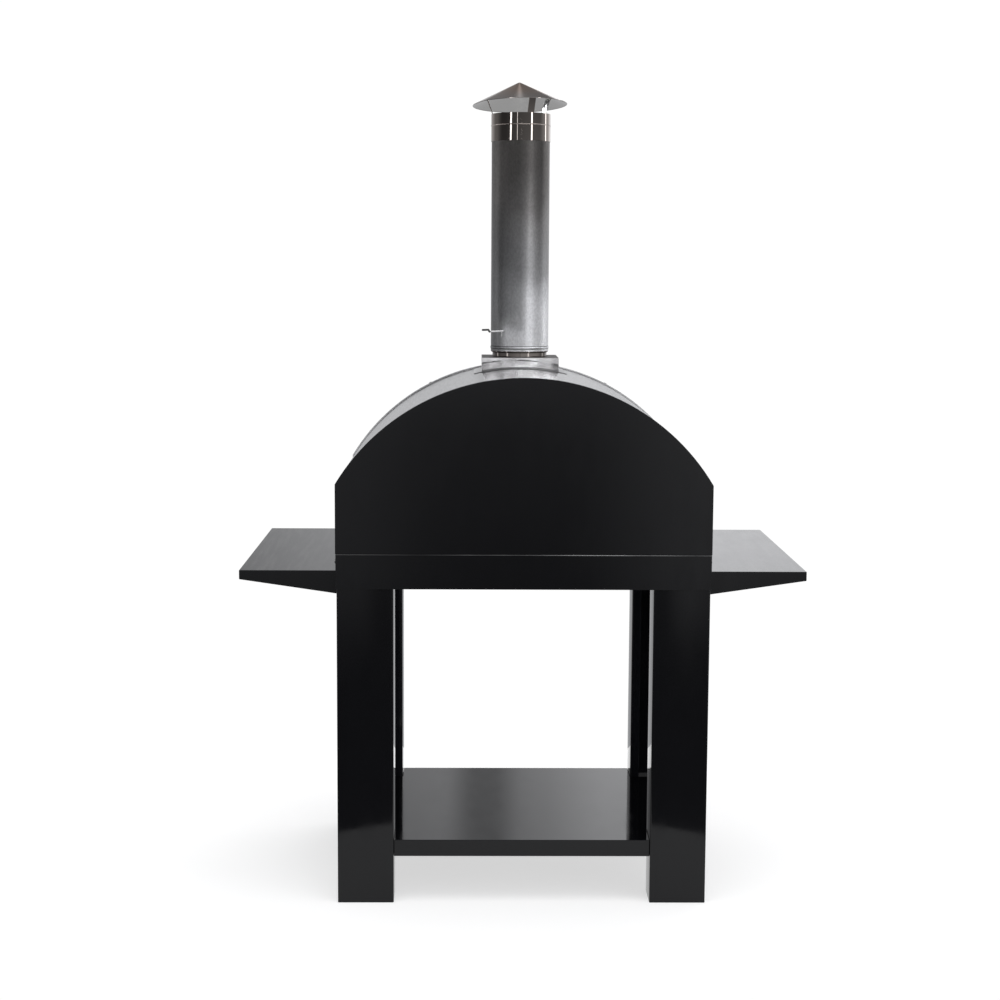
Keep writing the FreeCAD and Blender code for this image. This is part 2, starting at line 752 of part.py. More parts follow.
# ---------------------------------------------------------------- flue
def make_flue_box():
    """A square box on the crown of the dome with a saddle flange, open below and round above."""
    half = "box_width / 2"
    saddle = "arch_radius - stainless"
    low = "arch_z + vault_radius"
    height = "box_top - arch_z - vault_radius"
    block = box("box_block", "-" + half, "flue_y - " + half, low, "box_width", "box_width", height)
    inside = box("box_inside", "-%s + stainless" % half, "flue_y - %s + stainless" % half, low + " - 1",
                 "box_width - 2 * stainless", "box_width - 2 * stainless", height + " + 1 - stainless")
    dome = rod("box_saddle", saddle, "body_depth", "0", "rear_y", "arch_z", ALONG_Y)
    walls = cut("box_walls", cut("box_hollow", block, inside), dome)
    reach = half + " + box_flange"
    square = box("flange_square", "-(%s)" % reach, "flue_y - (%s)" % reach, low,
                 "2 * (%s)" % reach, "2 * (%s)" % reach, height)
    outer = rod("flange_outer", saddle + " + stainless", "body_depth", "0", "rear_y", "arch_z", ALONG_Y)
    under = rod("flange_under", saddle, "body_depth", "0", "rear_y", "arch_z", ALONG_Y)
    rolled = overlap("flange_rolled", square, cut("flange_sheet", outer, under))
    window = box("flange_window", "-%s + stainless" % half, "flue_y - %s + stainless" % half, low,
                 "box_width - 2 * stainless", "box_width - 2 * stainless", height)
    flange = cut("flange", rolled, window)
    hole = rod("box_round_hole", "spigot_radius + gap", "300", "0", "flue_y", low)
    keep(cut("flue_box", join("box_and_flange", walls, flange), hole))


def make_flue_tubes():
    """The spigot, the flue pipe with a bead at its foot, and the collar of the cap."""
    sleeve = "pipe_radius - pipe_wall - 0.3"
    spigot = turned("flue_spigot", [
        ("spigot_radius - stainless", "arch_z + vault_radius - 10"),
        ("spigot_radius", "arch_z + vault_radius - 10"),
        ("spigot_radius", "pipe_bottom - 5"),
        ("pipe_radius - 0.1", "pipe_bottom - 2"),
        ("pipe_radius - 0.1", "pipe_bottom"),
        (sleeve, "pipe_bottom"),
        (sleeve, "pipe_bottom + 33"),
        (sleeve + " - stainless", "pipe_bottom + 33"),
        (sleeve + " - stainless", "pipe_bottom + 1"),
        ("spigot_radius - stainless", "pipe_bottom - 3.5"),
    ])
    place(spigot, y="flue_y")
    keep(spigot)

    pipe = turned("pipe_tube", [
        ("pipe_radius - pipe_wall", "pipe_bottom"),
        ("pipe_radius", "pipe_bottom"),
        ("pipe_radius", "bead_z - bead_half"),
        ("pipe_radius", "bead_z + bead_half"),
        ("pipe_radius", "pipe_top"),
        ("pipe_radius - pipe_wall", "pipe_top"),
    ], {2: "bead_radius"})
    place(pipe, y="flue_y")
    hole = rod("pipe_spindle_hole", "spindle_radius + shaft_play", "3 * pipe_radius",
               *on_spindle("-1.5 * pipe_radius"), rotation=axis_rotation(spindle_direction()))
    keep(cut("flue_pipe", pipe, hole))

    collar = turned("cap_collar", [
        ("collar_radius - stainless + 0.3", "collar_bottom"),
        ("collar_radius", "collar_bottom"),
        ("collar_radius", "collar_bead - collar_bead_half"),
        ("collar_radius", "collar_bead + collar_bead_half"),
        ("collar_radius", "collar_top"),
        ("collar_radius - stainless + 0.3", "collar_top"),
    ], {2: "1.05 * collar_bead_half"})
    place(collar, y="flue_y")
    keep(collar)


def make_cap():
    """A shallow cone on three straps that stand inside the collar."""
    slope = "cap_height / cap_radius"
    slant = "sqrt(1 + (%s)^2)" % slope
    nose_r = "cap_nose * (%s) / %s" % (slope, slant)
    nose_z = "cap_height - (%s) * (%s)" % (nose_r, slope)
    top = "cap_height - cap_nose * (%s - 1)" % slant
    cone = turned("cap_cone", [
        ("0", top),
        ("0", top + " - cap_sheet"),
        ("cap_radius - cap_sheet", "-cap_sheet * 0.4"),
        ("cap_radius - cap_sheet", "-cap_drip"),
        ("cap_radius", "-cap_drip"),
        ("cap_radius", "0"),
        (nose_r, nose_z),
    ], {6: "cap_nose"})
    lean = FreeCAD.Rotation(FreeCAD.Vector(1, 0, 0), size_of("cap_lean"))
    tilt = FreeCAD.Rotation(FreeCAD.Vector(0, 1, 0), size_of("cap_tilt"))
    place(cone, "cap_shift", "flue_y", "cap_rim_z", tilt * lean)
    keep(cone)

    above = "2 * cap_height"
    roof = turned("cap_roof", [
        ("0", above),
        ("0", top + " - cap_sheet"),
        ("cap_radius - cap_sheet", "-cap_sheet * 0.4"),
        ("1.2 * cap_radius", "-cap_sheet * 0.4"),
        ("1.2 * cap_radius", above),
    ])
    place(roof, "cap_shift", "flue_y", "cap_rim_z", tilt * lean)

    inner = "collar_radius - stainless - 0.5"
    profile = [
        (inner + " - stainless", "collar_bead + 3"),
        (inner, "collar_bead + 3"),
        (inner, "collar_top + 2"),
        (inner + " + strap_flare", "collar_top + strap_rise"),
        (inner + " + strap_flare - 2 * stainless", "collar_top + strap_rise"),
        (inner + " - stainless", "collar_top + 3"),
    ]
    for number, angle in enumerate(("strap_near", "strap_right", "strap_left"), start=1):
        strap = new_body("strap_blank_%d" % number)
        sketch = outline(new_sketch(strap, "XZ"), profile)
        extrude(strap, "Pad", sketch, "strap_width", symmetric=True)
        turn = FreeCAD.Rotation(FreeCAD.Vector(0, 0, 1), size_of(angle) - 90)
        place(strap, y="flue_y", rotation=turn)
        keep(cut("cap_strap_%d" % number, strap, roof))


def spindle_direction():
    """Unit vector along the damper spindle, towards its grip."""
    turn = FreeCAD.Rotation(FreeCAD.Vector(0, 0, 1), -size_of("damper_turn"))
    along = turn.multVec(FreeCAD.Vector(0, -1, 0))
    return (along.x, along.y, along.z)


def on_spindle(distance):
    """The point of the damper spindle at a distance from the flue axis, towards the grip."""
    along = FreeCAD.Vector(*spindle_direction())
    x = "%g * (%s)" % (along.x, distance)
    y = "flue_y + %g * (%s)" % (along.y, distance)
    return x, y, "damper_z"


def make_damper():
    """A disc on a spindle through the pipe, standing open, with a grip on the spindle's end."""
    along = FreeCAD.Vector(*spindle_direction())
    across = FreeCAD.Vector(-along.y, along.x, 0)
    lengthwise = axis_rotation(along)
    disc = rod("damper_disc", "damper_radius", "steel", "%g * steel" % (-across.x / 2),
               "flue_y + %g * steel" % (-across.y / 2), "damper_z", axis_rotation(across))
    boss = rod("damper_boss", "2 * spindle_radius", "1.6 * damper_radius",
               *on_spindle("-0.8 * damper_radius"), rotation=lengthwise)
    bore = rod("damper_bore", "spindle_radius + 0.05", "4 * damper_radius",
               *on_spindle("-2 * damper_radius"), rotation=lengthwise)
    keep(cut("damper_plate", join("damper_disc_and_boss", disc, boss), bore))
    back_end = "(pipe_radius + 3 * spindle_radius)"
    keep(rod("damper_spindle", "spindle_radius", "spindle_reach + " + back_end,
             *on_spindle("-" + back_end), rotation=lengthwise))

    cotter = rod("damper_cotter_blank", "cotter_radius", "cotter_length", *on_spindle("cotter_reach"),
                 rotation=axis_rotation((0, 0, -1)))
    wire = rod("damper_cotter_seat", "spindle_radius + 0.01", "spindle_reach", *on_spindle("0"),
               rotation=lengthwise)
    keep(cut("damper_cotter", cotter, wire))

    up = FreeCAD.Vector(0, 0, 1)
    low_knee = "spindle_reach + grip_radius"
    high_knee = low_knee + " + grip_rise"
    slant = rod("grip_slant", "grip_radius", "sqrt(2) * grip_rise", *on_spindle(low_knee),
                rotation=axis_rotation(along + up))
    knees = []
    for number, reach in enumerate((low_knee, high_knee)):
        knee = doc.addObject("Part::Sphere", "grip_knee_%d" % number)
        bind(knee, Radius="grip_radius")
        x, y, z = on_spindle(reach)
        place(knee, x, y, "%s + %d * grip_rise" % (z, number))
        knees.append(knee)
    x, y, z = on_spindle(high_knee)
    level = rod("grip_level", "grip_radius", "grip_length", x, y, z + " + grip_rise", lengthwise)
    bent = join("grip_bent", join("grip_lower", slant, knees[0]), join("grip_upper", level, knees[1]))
    wire = rod("grip_seat", "spindle_radius + 0.3", "spindle_reach", *on_spindle("0"),
               rotation=lengthwise)
    keep(cut("damper_grip", bent, wire))


# ---------------------------------------------------------------- door
def make_door():
    """An arched door of two skins over a fibre core, with a bar handle."""
    face = FRONT_Y + " + door_gap"
    points, arcs = mouth_arch("door_overlap", "door_bottom")
    skin = new_body("door_skin")
    pad_y(skin, points, "door_depth", arcs)
    points, arcs = mouth_arch("door_overlap - stainless", "door_bottom + stainless")
    pocket_y(skin, points, "-1", "door_depth - stainless + 1", arcs)
    place(skin, y=face)
    keep(skin)
    inside = "door_overlap - stainless - gap"
    base = "door_bottom + stainless + gap"
    keep(arched_plate("door_back", mouth_arch(inside, base), face, "stainless"))
    keep(arched_plate("door_core", mouth_arch(inside, base), face + " + stainless",
                      "door_depth - 2 * stainless - gap"))

    front = face + " + door_depth"
    keep(rod("handle_bar", "handle_radius", "handle_length", "handle_x", "handle_y", "handle_z"))
    for label, part in (("handle_post_lower", 0.2), ("handle_post_upper", 0.8)):
        height = "handle_z + %g * handle_length" % part
        post = rod(label + "_blank", "post_radius", "handle_y - (%s)" % front, "handle_x", front, height,
                   ALONG_Y)
        bar = rod(label + "_seat", "handle_radius + 0.02", "handle_length", "handle_x", "handle_y",
                  "handle_z")
        keep(cut(label, post, bar))


def make_hinges():
    """Two hinges: a leaf on the front panel with the lower knuckle, a strap on the door with the upper."""
    face = "(%s + door_gap + door_depth)" % FRONT_Y
    half = "hinge_height / 2"
    lower_half = half + " - gap"
    pins = []
    for name, step in (("lower", 0), ("upper", 1)):
        low = "hinge_low + %d * hinge_pitch" % step
        middle = low + " + " + half

        plate = box("leaf_plate_" + name, "hinge_x - leaf_reach", FRONT_Y, low,
                    "leaf_length", "hinge_sheet", "hinge_height")
        web = box("leaf_web_" + name, "hinge_x - web_length", FRONT_Y, low,
                  "web_length", "hinge_y - (%s)" % FRONT_Y, lower_half)
        knuckle = rod("leaf_knuckle_" + name, "hinge_radius", lower_half, "hinge_x", "hinge_y", low)
        solid = join("leaf_solid_" + name, join("leaf_" + name, plate, web), knuckle)
        bore = rod("leaf_bore_" + name, "hinge_pin + shaft_play", "hinge_height", "hinge_x", "hinge_y",
                   low + " - 1")
        keep(cut("hinge_%s_leaf" % name, solid, bore))

        plate = box("strap_plate_" + name, "hinge_x - strap_back", face, middle,
                    "strap_length", "hinge_sheet", half)
        web = box("strap_web_" + name, "hinge_x - strap_back", "hinge_y", middle,
                  "hinge_radius + strap_back", "%s + hinge_sheet - hinge_y" % face, half)
        knuckle = rod("strap_knuckle_" + name, "hinge_radius", half, "hinge_x", "hinge_y", middle)
        solid = join("strap_solid_" + name, join("strap_" + name, plate, web), knuckle)
        bore = rod("strap_bore_" + name, "hinge_pin + shaft_play", "hinge_height", "hinge_x", "hinge_y",
                   middle + " - 1")
        keep(cut("hinge_%s_strap" % name, solid, bore))

        pin = rod("pin_" + name, "hinge_pin", "hinge_height + 2", "hinge_x", "hinge_y", low + " - 1")
        head = rod("pin_head_" + name, "hinge_pin + 2", "hinge_sheet", "hinge_x", "hinge_y",
                   low + " + hinge_height + 0.3")
        pins.append(join("hinge_pin_" + name, pin, head))
    keep(group("hinge_pins", pins))


def make_thermometer():
    """A bimetal thermometer through the door: case and stem, dial, needle and glass."""
    front = FRONT_Y + " + door_gap + door_depth"
    inside = "gauge_radius - gauge_wall"
    case = turned("thermometer_case", [
        ("0", "-gauge_stem"),
        ("stem_radius", "-gauge_stem"),
        ("stem_radius", "0"),
        ("gauge_radius", "0"),
        ("gauge_radius", "gauge_depth"),
        (inside, "gauge_depth"),
        (inside, "gauge_wall"),
        ("0", "gauge_wall"),
    ])
    place(case, "0", front, "gauge_z", ALONG_Y)
    keep(case)
    back = front + " + gauge_wall"
    disc = rod("dial_disc", inside + " - gap", "1", "0", back, "gauge_z", ALONG_Y)
    pivot = rod("dial_pivot", "1", "5", "0", back, "gauge_z", ALONG_Y)
    keep(join("thermometer_dial", disc, pivot))

    start = front + " + needle_lift"
    cold = FreeCAD.Rotation(FreeCAD.Vector(0, 1, 0), size_of("needle_cold"))
    corner = cold.multVec(FreeCAD.Vector(-0.5, 0, 0))
    pointer = box("needle_pointer", "0", start, "gauge_z", "needle_width", "needle_sheet",
                  inside + " - 2 * gauge_wall")
    place(pointer, "%g * needle_width" % corner.x, start, "gauge_z + %g * needle_width" % corner.z, cold)
    hub = rod("needle_hub", "2 * needle_width", "needle_sheet", "0", start, "gauge_z", ALONG_Y)
    hole = rod("needle_hole", "1 + shaft_play", "gauge_depth", "0", start + " - gauge_depth / 2",
               "gauge_z", ALONG_Y)
    keep(cut("thermometer_needle", join("needle_solid", pointer, hub), hole))
    keep(rod("thermometer_glass", inside + " - gap", "2", "0", front + " + gauge_depth - glass_drop",
             "gauge_z", ALONG_Y))


def write_parts():
    """Checks every feature and writes each sub-part to its own file."""
    doc.recompute()
    failed = [item.Label for item in doc.Objects if "Invalid" in item.State or "Error" in item.State]
    if failed:
        raise ValueError("failed features: " + ", ".join(failed))
    for part in PARTS:
        if part.Shape.isNull() or not part.Shape.isValid():
            raise ValueError(part.Label + " has no valid shape")
    os.makedirs("parts", exist_ok=True)
    for part in PARTS:
        part.Shape.exportStep("parts/%s.step" % part.Label)
        print("%-22s %d solids %10.1f cm3" % (part.Label, len(part.Shape.Solids), part.Shape.Volume / 1000))


make_legs()
make_aprons()
make_lower_shelf()
make_side_shelves()
make_bolts()
make_shell()
make_trim_screws()
make_chamber()
make_mouth()
make_flue_box()
make_flue_tubes()
make_cap()
make_damper()
make_door()
make_hinges()
make_thermometer()
write_parts()
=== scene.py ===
"""Looks of a wood fired pizza oven: black powder-coated sheet, stainless dome and flue, and a hinged door.

Lengths are metres and angles degrees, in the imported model's own frame: +Z up, the door towards +Y.
"""
import json
import math

import bmesh
import bpy
from mathutils import Matrix, Vector


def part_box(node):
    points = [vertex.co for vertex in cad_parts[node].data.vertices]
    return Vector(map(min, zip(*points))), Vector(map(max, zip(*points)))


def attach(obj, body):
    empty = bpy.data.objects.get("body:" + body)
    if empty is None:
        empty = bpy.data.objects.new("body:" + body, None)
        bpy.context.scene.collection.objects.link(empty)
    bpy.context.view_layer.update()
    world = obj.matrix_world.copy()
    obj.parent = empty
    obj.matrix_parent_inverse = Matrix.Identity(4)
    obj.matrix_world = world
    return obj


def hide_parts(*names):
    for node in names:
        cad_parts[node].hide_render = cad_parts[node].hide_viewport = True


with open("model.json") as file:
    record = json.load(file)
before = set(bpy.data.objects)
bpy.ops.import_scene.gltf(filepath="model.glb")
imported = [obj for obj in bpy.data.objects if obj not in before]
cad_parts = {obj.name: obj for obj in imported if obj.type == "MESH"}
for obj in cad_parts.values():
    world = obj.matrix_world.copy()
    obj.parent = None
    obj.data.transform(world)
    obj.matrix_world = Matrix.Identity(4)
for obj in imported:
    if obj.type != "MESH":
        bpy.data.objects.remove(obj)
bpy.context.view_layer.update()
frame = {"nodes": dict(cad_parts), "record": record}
scene = bpy.context.scene
MM = 0.001


# ---------------------------------------------------------------- camera
CAMERA_PLACE = Vector((-0.1246, -4.9757, 1.5504))
CAMERA_YAW = math.radians(0.83)
CAMERA_PITCH = math.radians(-6.86)
CAMERA_ROLL = math.radians(0.31)
CAMERA_LENS = 68.4


def make_camera():
    """Behind the oven, a little left of its middle and a little above the dome."""
    forward = Vector((
        math.sin(CAMERA_YAW) * math.cos(CAMERA_PITCH),
        math.cos(CAMERA_YAW) * math.cos(CAMERA_PITCH),
        math.sin(CAMERA_PITCH),
    ))
    level = Vector((math.cos(CAMERA_YAW), -math.sin(CAMERA_YAW), 0))
    upright = level.cross(forward)
    right = level * math.cos(CAMERA_ROLL) + upright * math.sin(CAMERA_ROLL)
    up = upright * math.cos(CAMERA_ROLL) - level * math.sin(CAMERA_ROLL)
    data = bpy.data.cameras.new("camera")
    data.lens = CAMERA_LENS
    data.sensor_width = 36
    data.clip_end = 100
    camera = bpy.data.objects.new("camera", data)
    turn = Matrix((right, up, -forward)).transposed().to_4x4()
    camera.matrix_world = Matrix.Translation(CAMERA_PLACE) @ turn
    scene.collection.objects.link(camera)
    scene.camera = camera


# ---------------------------------------------------------------- shader helpers
def add(tree, kind, settings=None, **inputs):
    """A node; each input is a value or another node's output.

    An input is named by its socket, with _ for a space, or by i and its number.
    """
    node = tree.nodes.new(kind)
    for name, value in (settings or {}).items():
        setattr(node, name, value)
    for name, value in inputs.items():
        numbered = name[0] == "i" and name[1:].isdigit()
        socket = node.inputs[int(name[1:]) if numbered else name.replace("_", " ")]
        if isinstance(value, bpy.types.NodeSocket):
            tree.links.new(value, socket)
        else:
            socket.default_value = value
    return node


def maths(tree, operation, *values):
    inputs = {"i%d" % index: value for index, value in enumerate(values)}
    return add(tree, "ShaderNodeMath", {"operation": operation}, **inputs).outputs[0]


def ramp(tree, value, low, high, to_low=0.0, to_high=1.0, smooth=True):
    """Maps low..high to to_low..to_high, clamped."""
    kind = "SMOOTHSTEP" if smooth else "LINEAR"
    node = add(tree, "ShaderNodeMapRange", {"interpolation_type": kind}, Value=value,
               From_Min=low, From_Max=high, To_Min=to_low, To_Max=to_high)
    return node.outputs[0]


def steps(tree, value, low, high, levels):
    """A curve through (position, level) pairs, the first at low and the last at high."""
    place = ramp(tree, value, low, high, smooth=False)
    node = add(tree, "ShaderNodeValToRGB", Fac=place)
    top = max(level for _, level in levels)
    shades = [(level / top, level / top, level / top, 1) for _, level in levels]
    stops = node.color_ramp.elements
    stops[0].color = shades[0]
    stops[-1].color = shades[-1]
    for (position, _), shade in list(zip(levels, shades))[1:-1]:
        stops.new((position - low) / (high - low)).color = shade
    return maths(tree, "MULTIPLY", node.outputs[0], top)


def noise(tree, scale, stretch=(1, 1, 1), detail=4, roughness=0.55, output=0):
    """Noise in the object's own frame; scale is in cells per metre, divided along each axis by stretch."""
    coordinates = add(tree, "ShaderNodeTexCoord").outputs["Object"]
    size = tuple(scale / part for part in stretch)
    mapping = add(tree, "ShaderNodeMapping", Vector=coordinates, Scale=size)
    node = add(tree, "ShaderNodeTexNoise", Vector=mapping.outputs[0], Scale=1.0, Detail=detail,
               Roughness=roughness)
    return node.outputs[output]


def blend_colour(tree, factor, first, second, kind="MIX"):
    node = add(tree, "ShaderNodeMix", {"data_type": "RGBA", "blend_type": kind})
    for index, value in ((0, factor), (6, first), (7, second)):
        if isinstance(value, bpy.types.NodeSocket):
            tree.links.new(value, node.inputs[index])
        else:
            node.inputs[index].default_value = value
    return node.outputs[2]


def grey(level, tint=(1, 1, 1)):
    return tuple(level * part for part in tint) + (1,)


def new_material(name, colour, roughness, bump=None, **sockets):
    """A Principled material; colour, roughness and metallic may be functions that build nodes."""
    material = bpy.data.materials.new(name)
    material.use_nodes = True
    tree = material.node_tree
    shader = tree.nodes["Principled BSDF"]
    sockets = {"Base_Color": colour, "Roughness": roughness, **sockets}
    for socket, value in sockets.items():
        place = shader.inputs[socket.replace("_", " ")]
        if callable(value):
            tree.links.new(value(tree), place)
        else:
            place.default_value = value
    if bump is not None:
        height, distance = bump
        node = add(tree, "ShaderNodeBump", Height=height(tree), Distance=distance, Strength=1.0)
        tree.links.new(node.outputs[0], shader.inputs["Normal"])
    return material


def position(tree):
    """The point's x, y and z in the oven's frame."""
    coordinates = add(tree, "ShaderNodeTexCoord").outputs["Object"]
    return add(tree, "ShaderNodeSeparateXYZ", Vector=coordinates).outputs


def facing(tree):
    """The surface's direction in the oven's frame."""
    normal = add(tree, "ShaderNodeTexCoord").outputs["Normal"]
    return add(tree, "ShaderNodeSeparateXYZ", Vector=normal).outputs


# ---------------------------------------------------------------- studio
FLOOR_RADIUS = 1.15
KEY_HEIGHT = 4.2
# strip lights: bearing at the horizon, its slope with elevation, half width, brightness, elevations
STRIPS = (
    (-49.3, 2.08, 3.2, 3.2, -12, 40),
    (-17.0, 0.5, 0.9, 1.6, 3, 14),
    (38.6, 0.72, 3.2, 3.2, -12, 40),
    (112.4, -0.2, 3.0, 2.6, -12, 40),
    (-107.7, 0.0, 3.5, 2.2, -12, 1),
)
# bright cards that only level sheet near the crown mirrors: bearing from, to, brightness
CARDS = ((-0.6, 3.2, 2.4), (0.75, 1.25, 2.4), (2.25, 2.75, 1.6), (5.4, 7.4, 1.3))


def window(tree, value, low, high, edge):
    """1 between low and high, falling to 0 over edge on both sides."""
    rise = ramp(tree, value, low - edge, low)
    return maths(tree, "MULTIPLY", rise, ramp(tree, value, high + edge, high))


def total(tree, *values):
    result = values[0]
    for value in values[1:]:
        result = maths(tree, "ADD", result, value)
    return result


def product(tree, *values):
    result = values[0]
    for value in values[1:]:
        result = maths(tree, "MULTIPLY", result, value)
    return result


def mixed(tree, factor, first, second):
    node = add(tree, "ShaderNodeMix", Factor=factor, A=first, B=second)
    return node.outputs[0]


def far_side(tree, elevation, away):
    """Brightness of the studio beyond the oven; away is the bearing from +Y towards +X."""
    low = steps(tree, away, -100, 100, (
        (-100, 0.10), (-60, 0.15), (-45, 0.3), (-24, 0.45), (-3.6, 0.6), (-1.0, 0.6), (-0.5, 0.06),
        (2.8, 0.06), (3.3, 0.52), (9, 0.62), (24, 1.1), (50, 0.5), (66, 0.3), (100, 0.3),
    ))
    middle = steps(tree, away, -100, 100, (
        (-100, 0.1), (-55, 0.2), (-40, 0.5), (-7, 0.42), (-0.6, 0.74), (-0.15, 0.37), (1.3, 0.37),
        (1.5, 0.74), (2.4, 0.85), (4.2, 1.28), (9, 1.2), (40, 0.6), (55, 0.3), (100, 0.2),
    ))
    high = steps(tree, away, -100, 100, (
        (-100, 0.3), (-12, 0.28), (-2.4, 0.2), (-0.9, 0.28), (-0.3, 0.5), (1.0, 0.5), (2.0, 0.2),
        (9, 0.17), (14, 0.25), (100, 0.35),
    ))
    level = mixed(tree, ramp(tree, elevation, 4.5, 8), low, middle)
    level = mixed(tree, ramp(tree, elevation, 17.5, 22), level, high)
    level = mixed(tree, ramp(tree, elevation, 50, 75), level, 0.9)
    return mixed(tree, ramp(tree, elevation, -1, -6), level, 0.5)


def near_side(tree, elevation, bearing):
    """Brightness of the studio in front of the oven's rear; bearing is from -Y towards +X."""
    level = steps(tree, elevation, -90, 90, (
        (-90, 0.4), (-55, 0.15), (-30, 0.06), (-18, 0.09), (-12, 0.11), (-7, 0.26), (-4.5, 0.36), (-3, 0.75),
        (-1.6, 0.6), (0.5, 0.24), (3.5, 0.1), (6, 0.05), (9, 0.1), (16, 0.5), (35, 0.75), (90, 0.8),
    ))
    gain = steps(tree, bearing, -130, 130, (
        (-130, 0.35), (-60, 0.4), (-25, 0.75), (0, 1.0), (40, 1.3), (80, 1.2), (130, 1.3),
    ))
    sides = steps(tree, bearing, -40, 40, (
        (-40, 0.2), (-9, 0.4), (-3.7, 0.36), (-1.2, 0.05), (0.5, 0.0), (3.5, 0.02), (5.5, 0.42), (7, 0.66),
        (12, 0.4), (40, 0.2),
    ))
    panel = steps(tree, elevation, -90, 90, (
        (-90, 0.0), (-11.5, 0.0), (-9.6, 0.9), (-5, 1.0), (-2.5, 0.6), (-0.5, 0.0), (90, 0.0),
    ))
    level = total(tree, product(tree, level, gain), product(tree, sides, panel))
    card_height = window(tree, elevation, 1.2, 3.15, 0.25)
    for low, high, brightness in CARDS:
        card = window(tree, bearing, low, high, 0.15)
        level = total(tree, level, product(tree, card, card_height, brightness))
    return level


def make_world():
    """A white backdrop for the camera, and for light and reflections a dim studio with tall strip lights."""
    world = bpy.data.worlds.new("studio")
    scene.world = world
    world.use_nodes = True
    tree = world.node_tree
    tree.nodes.clear()
    direction = add(tree, "ShaderNodeTexCoord").outputs["Generated"]
    east, north, rise = add(tree, "ShaderNodeSeparateXYZ", Vector=direction).outputs
    elevation = product(tree, maths(tree, "ARCSINE", rise), math.degrees(1))
    south = product(tree, north, -1.0)
    bearing = product(tree, maths(tree, "ARCTAN2", east, south), math.degrees(1))
    away = product(tree, maths(tree, "ARCTAN2", east, north), math.degrees(1))

    side = ramp(tree, north, -0.25, 0.35)
    room = mixed(tree, side, near_side(tree, elevation, bearing), far_side(tree, elevation, away))
    for centre, slope, half, brightness, bottom, top in STRIPS:
        middle = total(tree, product(tree, elevation, float(slope)), float(centre))
        offset = maths(tree, "ABSOLUTE", maths(tree, "SUBTRACT", bearing, middle))
        strip = ramp(tree, offset, float(half), half * 0.6, 0.0, brightness)
        room = total(tree, room, product(tree, strip, window(tree, elevation, bottom, top, 2.0)))

    studio = add(tree, "ShaderNodeBackground", Color=(0.985, 0.99, 1.015, 1), Strength=room)
    backdrop = add(tree, "ShaderNodeBackground", Color=(1, 1, 1, 1), Strength=1.02)
    path = add(tree, "ShaderNodeLightPath")
    mix = add(tree, "ShaderNodeMixShader", i0=path.outputs["Is Camera Ray"], i1=studio.outputs[0],
              i2=backdrop.outputs[0])
    output = tree.nodes.new("ShaderNodeOutputWorld")
    tree.links.new(mix.outputs[0], output.inputs[0])
    world.cycles.sampling_method = "MANUAL"
    world.cycles.sample_map_resolution = 2048


def soft_light(name, place, target, size, energy, spread=180):
    data = bpy.data.lights.new(name, "AREA")
    data.shape = "RECTANGLE"
    data.size, data.size_y = size
    data.energy = energy
    data.spread = math.radians(spread)
    light = bpy.data.objects.new(name, data)
    light.location = place
    light.rotation_euler = (Vector(target) - Vector(place)).to_track_quat("-Z", "Y").to_euler()
    light.visible_camera = False
    light.visible_glossy = False
    scene.collection.objects.link(light)


def make_floor():
    """A pale round floor."""
    mesh = bpy.data.meshes.new("floor")
    floor = bpy.data.objects.new("floor", mesh)
    scene.collection.objects.link(floor)
    shape = bmesh.new()
    bmesh.ops.create_circle(shape, cap_ends=True, segments=96, radius=FLOOR_RADIUS)
    shape.to_mesh(mesh)
    shape.free()
    floor.location.z = -0.5 * MM
    mesh.materials.append(new_material("pale_floor", grey(0.5), 0.8, Emission_Color=grey(1),
                                       Emission_Strength=0.62))


def make_studio():
    make_world()
    make_floor()
    soft_light("key", (-0.6, -1.2, KEY_HEIGHT), (0, 0, 0.4), (3.4, 3.0), 75)
    soft_light("fill", (1.4, 1.8, KEY_HEIGHT), (0, 0, 0.4), (3.0, 2.6), 60)
    strap = sum(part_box("cap_strap_2"), Vector()) / 2
    soft_light("strap", strap + Vector((-1.6, -1.2, 0.02)), strap, (0.2, 0.2), 0.35, 8)
    scene.view_settings.view_transform = "Standard"


# ---------------------------------------------------------------- materials
def black_powder(name="black_powder", marks=None, tone=1.0, sheen_streaks=0.0):
    """Glossy black powder coat with a fine orange peel and wiping marks.

    One argument gives where bare metal shows: random chips by default, or a painted highlight passed in.
    Another gives how pale the painted sheen streaks on level faces are; they stand in for streaky reflections
    of the wiped coat. The tone lightens the coat; on the front legs that is painted light.
    """
    # bare metal: random chips, or a painted highlight where one is passed in
    def bare_metal_and_highlight(tree):
        return marks(tree) if marks else ramp(tree, noise(tree, 35, detail=6), 0.86, 0.9, 0.0, 0.2)

    def colour(tree):
        coat = blend_colour(tree, noise(tree, 6), grey(0.0030 * tone, (1, 1, 1.3)),
                            grey(0.0050 * tone, (0.96, 1, 1.2)))
        if sheen_streaks:
            # painted sheen: pale streaks on level faces standing in for streaky reflections of the coat
            streaks = ramp(tree, noise(tree, 90, (1, 16, 1), 4), 0.4, 0.7)
            level = ramp(tree, facing(tree)[2], 0.9, 0.98)
            coat = blend_colour(tree, product(tree, streaks, level), coat, grey(sheen_streaks))
        return blend_colour(tree, bare_metal_and_highlight(tree), coat, grey(0.62))

    def roughness(tree):
        wiped = noise(tree, 24, (1, 3, 3), 4)
        return ramp(tree, wiped, 0.35, 0.65, 0.05, 0.09)

    def peel(tree):
        return noise(tree, 450, detail=1)

    return new_material(name, colour, roughness, IOR=1.33, Metallic=bare_metal_and_highlight, bump=(peel, 0.012 * MM))


def corner_highlight(tree, value, low, high, patches, least):
    """A painted highlight along a corner between low and high of one coordinate, uneven along the corner."""
    band = window(tree, value, low, high, 0.4 * MM)
    uneven = ramp(tree, noise(tree, patches, detail=2), 0.38, 0.62, least, 1.0)
    return product(tree, band, uneven)


